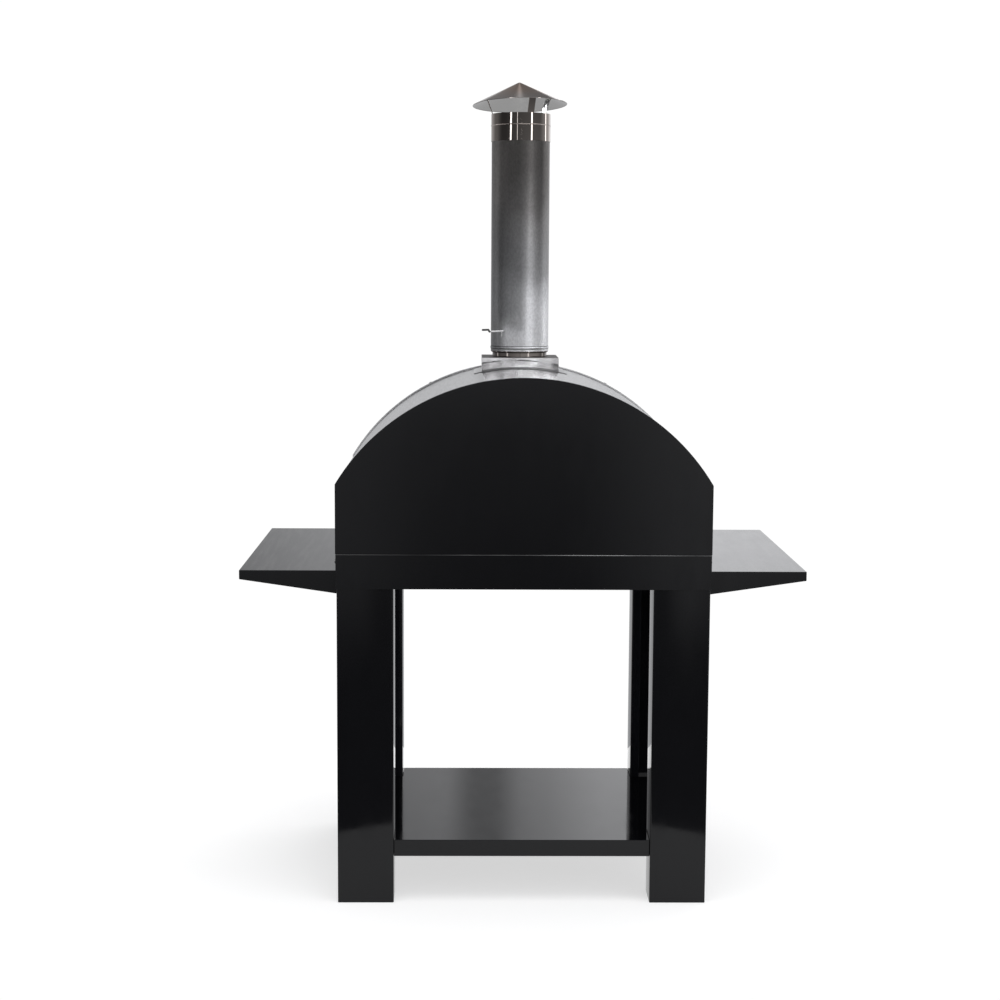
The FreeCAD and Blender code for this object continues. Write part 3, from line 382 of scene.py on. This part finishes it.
def apron_highlight(tree):
    """A painted highlight along the rear apron's upper corner, standing in for the light caught by its bend,
    faint at its left end.
    """
    x, y, z = position(tree)
    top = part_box("apron_rear")[1].z
    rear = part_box("apron_rear")[0].y
    return product(tree, corner_highlight(tree, z, top - 1.4 * MM, top + MM, 3.2, 0.12),
                   ramp(tree, y, rear + 1.2 * MM, rear + 0.8 * MM),
                   ramp(tree, x, -0.30, -0.12, 0.12, 1.0))


def satin_steel(name="satin_steel", along=(0, 1, 0)):
    """Satin stainless sheet with a rolled grain along one axis."""
    def grain(length):
        return tuple(1 + (length - 1) * part for part in along)

    def colour(tree):
        fine = noise(tree, 800, grain(30), 3)
        broad = blend_colour(tree, noise(tree, 7, grain(2)), grey(0.62), grey(0.70, (1, 0.995, 1)))
        return blend_colour(tree, ramp(tree, fine, 0.3, 0.7, 0.0, 0.35), broad, grey(0.5))

    def roughness(tree):
        return ramp(tree, noise(tree, 420, grain(40), 3), 0.3, 0.7, 0.14, 0.20)

    return new_material(name, colour, roughness, Metallic=1.0)


PIPE_PAINTED_LIGHT = (
    # painted light: height of the ring, then (twice the bearing, tone) pairs round its rear half; the tones
    # are painted highlights and painted shade
    (1.36, ((-180, 0.45), (-165, 0.3), (-110, 0.24), (-90, 0.4), (-60, 0.8), (0, 0.84), (40, 0.95),
            (110, 1.0), (165, 0.85), (180, 0.45))),
    (1.44, ((-180, 0.42), (-165, 0.3), (-100, 0.26), (-40, 0.34), (0, 0.46), (30, 0.92), (70, 0.92),
            (130, 1.0), (165, 0.75), (180, 0.42))),
    (1.60, ((-180, 0.34), (-100, 0.2), (-50, 0.17), (0, 0.26), (35, 0.5), (80, 0.32), (130, 0.42),
            (180, 0.34))),
    (1.82, ((-180, 0.28), (-100, 0.26), (-50, 0.11), (-10, 0.10), (35, 0.17), (90, 0.12), (135, 0.25),
            (180, 0.28))),
)
# heights of the creases beside the pipe's bead, in millimetres, where the pipe's colour is darkened as
# painted shade
BEAD_CREASES = (1345.0, 1352.2)


def flue_steel():
    """Single-wall pipe that heat has browned towards its top, with painted highlights and painted shade round
    and up it, brightest at its foot.
    """
    def colour(tree):
        x, y, z = position(tree)
        axis_y = (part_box("flue_pipe")[0].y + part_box("flue_pipe")[1].y) / 2
        south = maths(tree, "SUBTRACT", axis_y, y)
        bearing = product(tree, maths(tree, "ARCTAN2", x, south), 2 * math.degrees(1))
        drift = product(tree, total(tree, noise(tree, 9, detail=5), -0.5), 0.16)
        height = total(tree, z, drift)
        # painted highlights and painted shade, ring by ring up the pipe
        low, curve = PIPE_PAINTED_LIGHT[0]
        tone = steps(tree, bearing, -180, 180, curve)
        for high, curve in PIPE_PAINTED_LIGHT[1:]:
            tone = mixed(tree, ramp(tree, height, low, high), tone, steps(tree, bearing, -180, 180, curve))
            low = high
        mottle = ramp(tree, noise(tree, 220, (1, 1, 1.6), 4), 0.3, 0.7, 0.9, 1.08)
        brown = ramp(tree, height, 1.5, 1.9)
        tint = blend_colour(tree, brown, grey(1, (0.98, 0.985, 1.0)), grey(1, (1, 0.95, 0.91)))
        # painted shade: dark lines in the creases beside the bead
        crease_shade = 1.0
        for crease in BEAD_CREASES:
            line = window(tree, z, (crease - 0.5) * MM, (crease + 0.5) * MM, 0.5 * MM)
            crease_shade = product(tree, crease_shade, ramp(tree, line, 0.0, 1.0, 1.0, 0.1))
        node = add(tree, "ShaderNodeVectorMath", {"operation": "SCALE"}, i0=tint)
        tree.links.new(product(tree, tone, mottle, crease_shade), node.inputs["Scale"])
        return node.outputs[0]

    def roughness(tree):
        return ramp(tree, noise(tree, 160, (1, 1, 30), 3), 0.3, 0.7, 0.38, 0.44)

    return new_material("flue_steel", colour, roughness, Metallic=1.0)


def polished_steel(name="polished_steel", low=0.54, high=0.7, tint=(1, 0.9, 0.83), smooth=0.02):
    """Mirror-bright sheet, a little browned."""
    def colour(tree):
        return blend_colour(tree, noise(tree, 14), grey(low, tint), grey(high, tint))

    def roughness(tree):
        return ramp(tree, noise(tree, 80, detail=3), 0.3, 0.7, smooth, smooth + 0.03)

    return new_material(name, colour, roughness, Metallic=1.0)


def cap_steel():
    """Polished cone with a warm heat tint round its nose."""
    nose = sum(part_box("cap_cone"), Vector()) / 2

    def colour(tree):
        x, y, _ = position(tree)
        point = add(tree, "ShaderNodeCombineXYZ", X=x, Y=y)
        offset = add(tree, "ShaderNodeVectorMath", {"operation": "SUBTRACT"}, i0=point.outputs[0],
                     i1=(nose.x, nose.y, 0))
        distance = add(tree, "ShaderNodeVectorMath", {"operation": "LENGTH"}, i0=offset.outputs[0])
        uneven = total(tree, distance.outputs["Value"], product(tree, noise(tree, 25), 0.04))
        outside = blend_colour(tree, ramp(tree, uneven, 0.05, 0.15), grey(0.56, (1, 0.72, 0.56)),
                               grey(0.5, (1, 0.9, 0.84)))
        underside = ramp(tree, facing(tree)[2], 0.0, -0.2)
        return blend_colour(tree, underside, outside, grey(0.57, (1, 0.99, 0.96)))

    def roughness(tree):
        return ramp(tree, noise(tree, 60, detail=3), 0.3, 0.7, 0.08, 0.14)

    return new_material("cap_steel", colour, roughness, Metallic=1.0)


# height of the dome's centre and the radius that the flue box's flange lies on, in millimetres
ARCH_CENTRE = 764.4
FLANGE_RADIUS = 533.4


def box_steel():
    """Bright flue box; its flat top is painted a matte near-black as a painted dark reflection, and painted
    shade with soot runs where its walls meet the flange.
    """
    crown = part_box("flue_box")[1].z

    # painted dark reflection: the level top is a matte near-black instead of mirror steel
    def top(tree):
        z = position(tree)[2]
        level = ramp(tree, facing(tree)[2], 0.9, 0.99)
        return product(tree, level, ramp(tree, z, crown - 4 * MM, crown - MM))

    # painted shade, with soot: a dark line where the box walls meet the flange
    def joint_shade(tree):
        x, _, z = position(tree)
        height = maths(tree, "SUBTRACT", z, ARCH_CENTRE * MM)
        reach = maths(tree, "SQRT", total(tree, product(tree, x, x), product(tree, height, height)))
        wall = ramp(tree, facing(tree)[2], 0.5, 0.3)
        return product(tree, wall, ramp(tree, reach, (FLANGE_RADIUS + 2.2) * MM, (FLANGE_RADIUS + 1.4) * MM))

    def colour(tree):
        cloud = ramp(tree, noise(tree, 16, detail=2), 0.4, 0.6)
        clean = blend_colour(tree, cloud, grey(0.64, (1, 0.985, 0.99)), grey(0.92))
        clean = blend_colour(tree, joint_shade(tree), clean, grey(0.08))
        return blend_colour(tree, top(tree), clean, grey(0.05, (1, 0.95, 0.9)))

    def roughness(tree):
        smooth = ramp(tree, noise(tree, 22, detail=2), 0.42, 0.58, 0.03, 0.10)
        return mixed(tree, top(tree), smooth, 0.45)

    def metallic(tree):
        return maths(tree, "SUBTRACT", 1.0, top(tree))

    return new_material("box_steel", colour, roughness, Metallic=metallic)


def chamber_steel():
    """Steel that has been hot: brown and straw patches under a thin soot."""
    def colour(tree):
        tint = blend_colour(tree, ramp(tree, noise(tree, 5, detail=6), 0.4, 0.6), grey(0.22, (1, 0.86, 0.72)),
                            grey(0.34, (1, 0.95, 0.88)))
        return blend_colour(tree, ramp(tree, noise(tree, 3, detail=5), 0.45, 0.7), tint, grey(0.06))

    def roughness(tree):
        return ramp(tree, noise(tree, 30, detail=4), 0.3, 0.7, 0.38, 0.62)

    return new_material("chamber_steel", colour, roughness, Metallic=0.9)


def fibre():
    def colour(tree):
        return blend_colour(tree, noise(tree, 120, detail=5), grey(0.70, (1, 0.98, 0.93)),
                            grey(0.86, (1, 0.99, 0.96)))

    def fuzz(tree):
        return noise(tree, 700, (1, 6, 1), 6)

    return new_material("fibre", colour, 0.95, bump=(fuzz, 0.3 * MM))


def hearth_stone():
    """Sand-coloured cordierite, speckled, with darker patches where it was used."""
    def colour(tree):
        speckle = blend_colour(tree, ramp(tree, noise(tree, 500, detail=2), 0.5, 0.62),
                               grey(0.55, (1, 0.88, 0.70)), grey(0.34, (1, 0.84, 0.66)))
        return blend_colour(tree, ramp(tree, noise(tree, 4, detail=5), 0.5, 0.75, 0, 0.75), speckle,
                            grey(0.10, (1, 0.85, 0.7)))

    def pores(tree):
        return noise(tree, 900, detail=5)

    return new_material("hearth_stone", colour, 0.85, bump=(pores, 0.15 * MM))


def zinc():
    def colour(tree):
        return blend_colour(tree, noise(tree, 200), grey(0.55), grey(0.68, (1, 0.99, 0.95)))

    def roughness(tree):
        return ramp(tree, noise(tree, 300), 0.3, 0.7, 0.22, 0.36)

    return new_material("zinc", colour, roughness, Metallic=1.0)


def handle_wood():
    """Oiled dark beech, its grain along the bar."""
    def colour(tree):
        rings = noise(tree, 260, (1, 1, 16), 5, 0.6)
        return blend_colour(tree, ramp(tree, rings, 0.35, 0.65), grey(0.16, (1, 0.52, 0.26)),
                            grey(0.34, (1, 0.6, 0.33)))

    def grain(tree):
        return noise(tree, 420, (1, 1, 22), 3)

    def roughness(tree):
        return ramp(tree, noise(tree, 90), 0.3, 0.7, 0.34, 0.5)

    return new_material("handle_wood", colour, roughness, bump=(grain, 0.08 * MM), Coat_Weight=0.25,
                        Coat_Roughness=0.25)


def plain_enamel(name, colour, roughness):
    """A thin coat with a slight unevenness."""
    def tone(tree):
        marks = tuple(part * 0.9 for part in colour[:3]) + (1,)
        return blend_colour(tree, noise(tree, 220, detail=3), colour, marks)

    def uneven(tree):
        return ramp(tree, noise(tree, 150), 0.3, 0.7, roughness, roughness + 0.1)

    return new_material(name, tone, uneven)


def gauge_glass():
    def colour(tree):
        return blend_colour(tree, noise(tree, 80), grey(0.97), grey(0.99))

    return new_material("gauge_glass", colour, 0.02, Transmission_Weight=1.0, IOR=1.45, Alpha=0.35)


MATERIALS = {
    "black_steel": black_powder(),
    "satin_stainless": satin_steel(),
    "flue_stainless": flue_steel(),
    "polished_stainless": polished_steel(),
    "dark_wire": plain_enamel("dark_wire", grey(0.05, (1, 0.97, 0.95)), 0.3),
    "bright_wire": zinc(),
    "chamber_steel": chamber_steel(),
    "fibre": fibre(),
    "hearth_stone": hearth_stone(),
    "zinc_fasteners": zinc(),
    "handle_grip": handle_wood(),
    "dial_white": plain_enamel("dial_white", grey(0.82, (1, 1, 0.97)), 0.5),
    "needle_red": plain_enamel("needle_red", (0.55, 0.02, 0.01, 1), 0.35),
    "gauge_glass": gauge_glass(),
}
OWN_MATERIALS = {
    "cap_cone": cap_steel(),
    "flue_box": box_steel(),
    "door_skin": satin_steel("brushed_door", (1, 0, 0)),
    "mouth_sill": satin_steel("brushed_sill", (1, 0, 0)),
    # painted highlight: this strap is a pale matte coat so that it shows bright, with a small lamp on it
    "cap_strap_2": plain_enamel("strap_painted_highlight", grey(0.85), 0.35),
    "cap_strap_3": polished_steel("strap_steel", 0.7, 0.8, smooth=0.6),
    # the spigot's polished steel is made dark, 0.10 to 0.22
    "flue_spigot": polished_steel("darkened_spigot", 0.10, 0.22, smooth=0.04),
    # painted highlight: spindle and cotter are a pale matte coat so that they show as a bright line
    "damper_spindle": plain_enamel("damper_wire_painted_highlight", grey(0.9), 0.25),
    "damper_cotter": plain_enamel("cotter_painted_highlight", grey(0.7), 0.25),
    # painted light: the front legs' coat is made lighter, standing in for the light on their faces
    "leg_front_left": black_powder("leg_left_painted_lighter", tone=2.6),
    "leg_front_right": black_powder("leg_right_painted_lighter", tone=2.0),
    # the rear apron carries a painted highlight along its upper corner
    "apron_rear": black_powder("apron_painted_highlight", apron_highlight),
    # painted sheen: pale streaks on the shelves' tops stand in for streaky reflections
    "side_shelf_left": black_powder("shelf_left_painted_sheen", sheen_streaks=0.03),
    "side_shelf_right": black_powder("shelf_right_painted_sheen", sheen_streaks=0.03),
}


# ---------------------------------------------------------------- edges of the CAD nodes
# angles between faces, in degrees
SMOOTH_UP_TO = 28
ADDED_SMOOTH_UP_TO = 30
FLAT_WITHIN = 0.3
BEND_FROM = 40


def clean_edges():
    """Node group that welds a node's faces together and keeps only its real corners sharp."""
    group = bpy.data.node_groups.new("clean_edges", "GeometryNodeTree")
    group.interface.new_socket("Geometry", in_out="INPUT", socket_type="NodeSocketGeometry")
    group.interface.new_socket("Geometry", in_out="OUTPUT", socket_type="NodeSocketGeometry")
    source = group.nodes.new("NodeGroupInput").outputs[0]
    plain = add(group, "GeometryNodeRemoveAttribute", Geometry=source, Name="custom_normal")
    whole = add(group, "GeometryNodeMergeByDistance", Geometry=plain.outputs[0], Distance=0.002 * MM)
    faces = add(group, "GeometryNodeSetShadeSmooth", {"domain": "FACE"}, Geometry=whole.outputs[0],
                Shade_Smooth=True)
    angle = group.nodes.new("GeometryNodeInputMeshEdgeAngle").outputs["Unsigned Angle"]
    corner = add(group, "ShaderNodeMath", {"operation": "GREATER_THAN"}, i0=angle,
                 i1=math.radians(SMOOTH_UP_TO))
    edges = add(group, "GeometryNodeSetShadeSmooth", {"domain": "EDGE"}, Geometry=faces.outputs[0],
                Selection=corner.outputs[0], Shade_Smooth=False)
    result = group.nodes.new("NodeGroupOutput")
    group.links.new(edges.outputs[0], result.inputs[0])
    return group


# radius of the bends and corners of a node's sheet, in millimetres
EDGE_WIDTH = {
    "rear_panel": 1.9, "front_panel": 0.5, "base_tray": 0.5,
    "apron_rear": 0.5, "apron_front": 0.9, "apron_left": 0.9, "apron_right": 0.9,
    "lower_shelf": 1.2, "side_shelf_left": 1.2, "side_shelf_right": 1.2,
    "flue_box": 0.5, "front_trim": 0.7,
    "hearth_stone_1": 1.5, "hearth_stone_2": 1.5, "hearth_stone_3": 1.5, "hearth_stone_4": 1.5,
    "thermometer_case": 1.2, "door_skin": 1.2, "mouth_sill": 0.8,
    "hinge_lower_leaf": 0.6, "hinge_lower_strap": 0.6, "hinge_upper_leaf": 0.6, "hinge_upper_strap": 0.6,
    "leg_rear_left": 0.5, "leg_rear_right": 0.5, "leg_front_left": 0.5, "leg_front_right": 0.5,
    "trim_screws": 0.6,
}


def dress_nodes():
    """Each CAD node gets its material and welded faces, and each node listed in EDGE_WIDTH small radii on its
    corners.
    """
    slots = {part["node"]: part["material_slot"] for part in frame["record"]["subparts"]}
    group = clean_edges()
    for name, piece in frame["nodes"].items():
        material = OWN_MATERIALS.get(name, MATERIALS[slots[name]])
        piece.data.materials.clear()
        piece.data.materials.append(material)
        weld = piece.modifiers.new("clean", "NODES")
        weld.node_group = group
        if name in EDGE_WIDTH:
            flat = piece.modifiers.new("flat", "DECIMATE")
            flat.decimate_type = "DISSOLVE"
            flat.angle_limit = math.radians(FLAT_WITHIN)
            bevel = piece.modifiers.new("bend", "BEVEL")
            bevel.width = EDGE_WIDTH[name] * MM
            bevel.segments = 3
            bevel.limit_method = "ANGLE"
            bevel.angle_limit = math.radians(BEND_FROM)
            bevel.harden_normals = True


# ---------------------------------------------------------------- added pieces
# sizes are millimetres and bearings degrees
PIPE_RADIUS = 77.4
SEAM_BEARING = 160
SEAM_WIDTH = 8
SEAM_PROUD = 0.8
SEAM_START = 14
SEAM_SIDE_STEPS = 5
LEAF_THICKNESS = 3
HINGE_SCREW_RADIUS = 4
HINGE_SCREW_HEIGHT = 2.2
SUNK = 0.2
# hinge plates: kind, body, screws' places along the plate and up it
HINGE_PLATES = (("leaf", "oven", (9, 24), (9, 31)), ("strap", "door", (40, 78), (10,)))
# a button head: part of its radius, part of its height
BUTTON_HEAD = ((1.0, 0.0), (1.0, 0.2), (0.93, 0.5), (0.78, 0.8), (0.6, 0.96), (0.48, 1.0))
SOCKET_RADIUS = 0.33
SOCKET_FLOOR = 0.4
# one end of the grip: radius, distance from the end
GRIP_END = ((4.5, 0), (7.8, 0.8), (9.6, 3), (10.3, 6), (9.6, 8.6), (9.6, 9.6), (10.8, 11.5), (11, 16),
            (11, 38), (10.3, 39), (10.3, 40), (11, 41))
DIAL_COLD = 135
DIAL_STEPS = 5
DIAL_PARTS = 5
DIAL_HOT = 0.8
DIAL_EDGE = 23
LONG_LINE_START = 19
SHORT_LINE_START = 21
LONG_LINE_HALF = 0.9
SHORT_LINE_HALF = 0.5
ZONE_START = 23.8
ZONE_END = 25.2
NUMBER_RADIUS = 15
NUMBER_SIZE = 4.6
NUMBER_RISE = 0.1
PRINT_BACK = 0.95
PRINT_FRONT = 1.15


def finished(name, shape, material, body):
    """A piece from a bmesh, its real corners sharp and the rest smooth, riding on its body."""
    bmesh.ops.recalc_face_normals(shape, faces=shape.faces)
    for face in shape.faces:
        face.smooth = True
    for edge in shape.edges:
        edge.smooth = edge.calc_face_angle(0) < math.radians(ADDED_SMOOTH_UP_TO)
    mesh = bpy.data.meshes.new(name)
    shape.to_mesh(mesh)
    shape.free()
    mesh.materials.append(material)
    piece = bpy.data.objects.new(name, mesh)
    scene.collection.objects.link(piece)
    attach(piece, body)
    return piece


def ring_point(radius, along, corners, turn):
    """A point of a ring round z; with corners, the ring is a polygon and radius its inner one."""
    if corners:
        half = math.pi / corners
        radius /= math.cos(turn % (2 * half) - half)
    return Vector((radius * math.cos(turn), radius * math.sin(turn), along)) * MM


def add_turned(shape, profile, origin, axis, count=24):
    """A closed solid through rings of (radius, along the axis, corners), in millimetres."""
    place = Matrix.Translation(origin) @ Vector(axis).to_track_quat("Z", "Y").to_matrix().to_4x4()
    turns = [2 * math.pi * step / count for step in range(count)]
    rings = [[shape.verts.new(place @ ring_point(*row, turn)) for turn in turns] for row in profile]
    for first, second in zip(rings, rings[1:]):
        for step in range(count):
            after = (step + 1) % count
            shape.faces.new((first[step], first[after], second[after], second[step]))
    shape.faces.new(rings[0])
    shape.faces.new(rings[-1])


def socket_screw(shape, origin, axis, radius, height, shank, length):
    """A button-head screw with a hexagon socket, from its shank's end; length 0 has no shank."""
    rows = []
    if length > 0:
        rows += [(shank, 0, 0), (shank, length, 0)]
    for part, rise in BUTTON_HEAD:
        rows.append((radius * part, length + height * rise, 0))
    for depth in (1.0, SOCKET_FLOOR):
        rows.append((radius * SOCKET_RADIUS, length + height * depth, 6))
    add_turned(shape, rows, origin, axis)


def separate_boxes(node):
    """The box of each separate solid of a CAD node, in a fixed order."""
    shape = bmesh.new()
    shape.from_mesh(frame["nodes"][node].data)
    bmesh.ops.remove_doubles(shape, verts=shape.verts, dist=0.01 * MM)
    left = set(shape.verts)
    boxes = []
    while left:
        reached = [left.pop()]
        points = []
        while reached:
            vertex = reached.pop()
            points.append(vertex.co.copy())
            for edge in vertex.link_edges:
                other = edge.other_vert(vertex)
                if other in left:
                    left.remove(other)
                    reached.append(other)
        low = Vector([min(point[axis] for point in points) for axis in range(3)])
        high = Vector([max(point[axis] for point in points) for axis in range(3)])
        boxes.append((low, high))
    shape.free()
    return sorted(boxes, key=lambda box: tuple(round(value, 4) for value in box[0]))


def make_bolts():
    """Button-head bolts with hexagon sockets, where the CAD has plain round ones."""
    for node in ("leg_bolts", "shelf_bolts"):
        shape = bmesh.new()
        for low, high in separate_boxes(node):
            middle = (low + high) / 2
            side = math.copysign(1, middle.x)
            start = Vector((low.x if side > 0 else high.x, middle.y, middle.z))
            length = (high.x - low.x) / MM
            radius = (high.z - low.z) / 2 / MM
            socket_screw(shape, start, (side, 0, 0), radius, length / 4, radius / 2, length * 3 / 4)
        bolts = finished(node + "_detailed", shape, MATERIALS["zinc_fasteners"], "oven")
        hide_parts(node)


def make_hinge_screws():
    """Two screws in each hinge plate."""
    for kind, body, reach, rises in HINGE_PLATES:
        shape = bmesh.new()
        for height in ("lower", "upper"):
            low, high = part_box("hinge_%s_%s" % (height, kind))
            face = low.y + LEAF_THICKNESS * MM if kind == "leaf" else high.y
            for along in reach:
                for rise in rises:
                    place = Vector((low.x + along * MM, face - SUNK * MM, low.z + rise * MM))
                    socket_screw(shape, place, (0, 1, 0), HINGE_SCREW_RADIUS, HINGE_SCREW_HEIGHT, 0, 0)
        finished("hinge_%s_screws" % kind, shape, MATERIALS["zinc_fasteners"], body)


def make_handle():
    """A turned wooden grip with beads near its ends and shallow grooves, on the CAD's two posts."""
    low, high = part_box("handle_bar")
    length = (high.z - low.z) / MM
    rows = [(radius, along, 0) for radius, along in GRIP_END]
    rows += [(radius, length - along, 0) for radius, along in reversed(GRIP_END)]
    shape = bmesh.new()
    middle = (low + high) / 2
    add_turned(shape, rows, Vector((middle.x, middle.y, low.z)), (0, 0, 1), 32)
    grip = finished("turned_handle", shape, MATERIALS["handle_grip"], "door")
    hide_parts("handle_bar")


def make_flue_seam():
    """The folded seam up the door side of the pipe."""
    low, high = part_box("flue_pipe")
    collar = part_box("cap_collar")[0].z
    axis = (low + high) / 2
    radius = PIPE_RADIUS * MM
    bearing = math.radians(SEAM_BEARING)
    half = SEAM_WIDTH / 2 / PIPE_RADIUS
    parts = [step / SEAM_SIDE_STEPS for step in range(-SEAM_SIDE_STEPS, SEAM_SIDE_STEPS + 1)]
    outer = [(part, 1 - part ** 4) for part in parts]
    section = [(bearing + half * part, radius + rise * SEAM_PROUD * MM) for part, rise in outer]
    section += [(bearing + half * part, radius - SEAM_PROUD * MM / 2) for part, _ in reversed(outer)]
    shape = bmesh.new()
    rings = []
    for z in (low.z + SEAM_START * MM, collar - 0.5 * MM):
        rings.append([shape.verts.new((axis.x + math.sin(turn) * reach, axis.y - math.cos(turn) * reach, z))
                      for turn, reach in section])
    count = len(section)
    for step in range(count):
        after = (step + 1) % count
        shape.faces.new((rings[0][step], rings[0][after], rings[1][after], rings[1][step]))
    shape.faces.new(rings[0])
    shape.faces.new(rings[1])
    finished("flue_seam", shape, MATERIALS["flue_stainless"], "oven")


def dial_place(turn, reach, face):
    """A point of the dial, reach from its pivot, turn clockwise from the top as seen from behind."""
    low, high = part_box("thermometer_dial")
    middle = (low + high) / 2
    return Vector((middle.x + math.sin(turn) * reach, face, middle.z + math.cos(turn) * reach))


def add_sector(shape, start, stop, inner, outer, back, front, count):
    """A flat piece of a ring on the dial."""
    rings = []
    for reach, face in ((inner, back), (outer, back), (outer, front), (inner, front)):
        turns = [start + (stop - start) * step / count for step in range(count + 1)]
        rings.append([shape.verts.new(dial_place(turn, reach * MM, face)) for turn in turns])
    for ring in range(4):
        first, second = rings[ring], rings[(ring + 1) % 4]
        for step in range(count):
            shape.faces.new((first[step], first[step + 1], second[step + 1], second[step]))
    for end in (0, count):
        shape.faces.new([ring[end] for ring in rings])


def make_dial():
    """Scale lines, numbers and a red zone on the thermometer's dial."""
    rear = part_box("thermometer_dial")[0].y
    back = rear + PRINT_BACK * MM
    front = rear + PRINT_FRONT * MM
    cold = math.radians(DIAL_COLD)
    span = -2 * cold

    lines = bmesh.new()
    count = DIAL_STEPS * DIAL_PARTS
    for step in range(count + 1):
        long = step % DIAL_PARTS == 0
        turn = cold + span * step / count
        half = math.radians(LONG_LINE_HALF if long else SHORT_LINE_HALF)
        start = LONG_LINE_START if long else SHORT_LINE_START
        add_sector(lines, turn - half, turn + half, start, DIAL_EDGE, back, front, 1)
    finished("dial_lines", lines, MATERIALS["dark_wire"], "door")

    zone = bmesh.new()
    add_sector(zone, cold + span * DIAL_HOT, cold + span, ZONE_START, ZONE_END, back, front, 16)
    finished("dial_zone", zone, MATERIALS["needle_red"], "door")

    numbers = bmesh.new()
    for step in range(DIAL_STEPS + 1):
        data = bpy.data.curves.new("number", "FONT")
        data.body = str(step * 100)
        data.size = NUMBER_SIZE * MM
        data.extrude = NUMBER_RISE * MM
        data.resolution_u = 3
        data.align_x = "CENTER"
        data.align_y = "CENTER"
        writing = bpy.data.objects.new("number", data)
        mesh = bpy.data.meshes.new_from_object(writing)
        place = dial_place(cold + span * step / DIAL_STEPS, NUMBER_RADIUS * MM, front - NUMBER_RISE * MM)
        upright = Matrix(((-1, 0, 0), (0, 0, 1), (0, 1, 0))).transposed().to_4x4()
        mesh.transform(Matrix.Translation(place) @ upright)
        numbers.from_mesh(mesh)
        bpy.data.objects.remove(writing)
    bmesh.ops.remove_doubles(numbers, verts=numbers.verts, dist=0.002 * MM)
    finished("dial_numbers", numbers, MATERIALS["dark_wire"], "door")


make_camera()
make_studio()
dress_nodes()
make_bolts()
make_hinge_screws()
make_handle()
make_flue_seam()
make_dial()
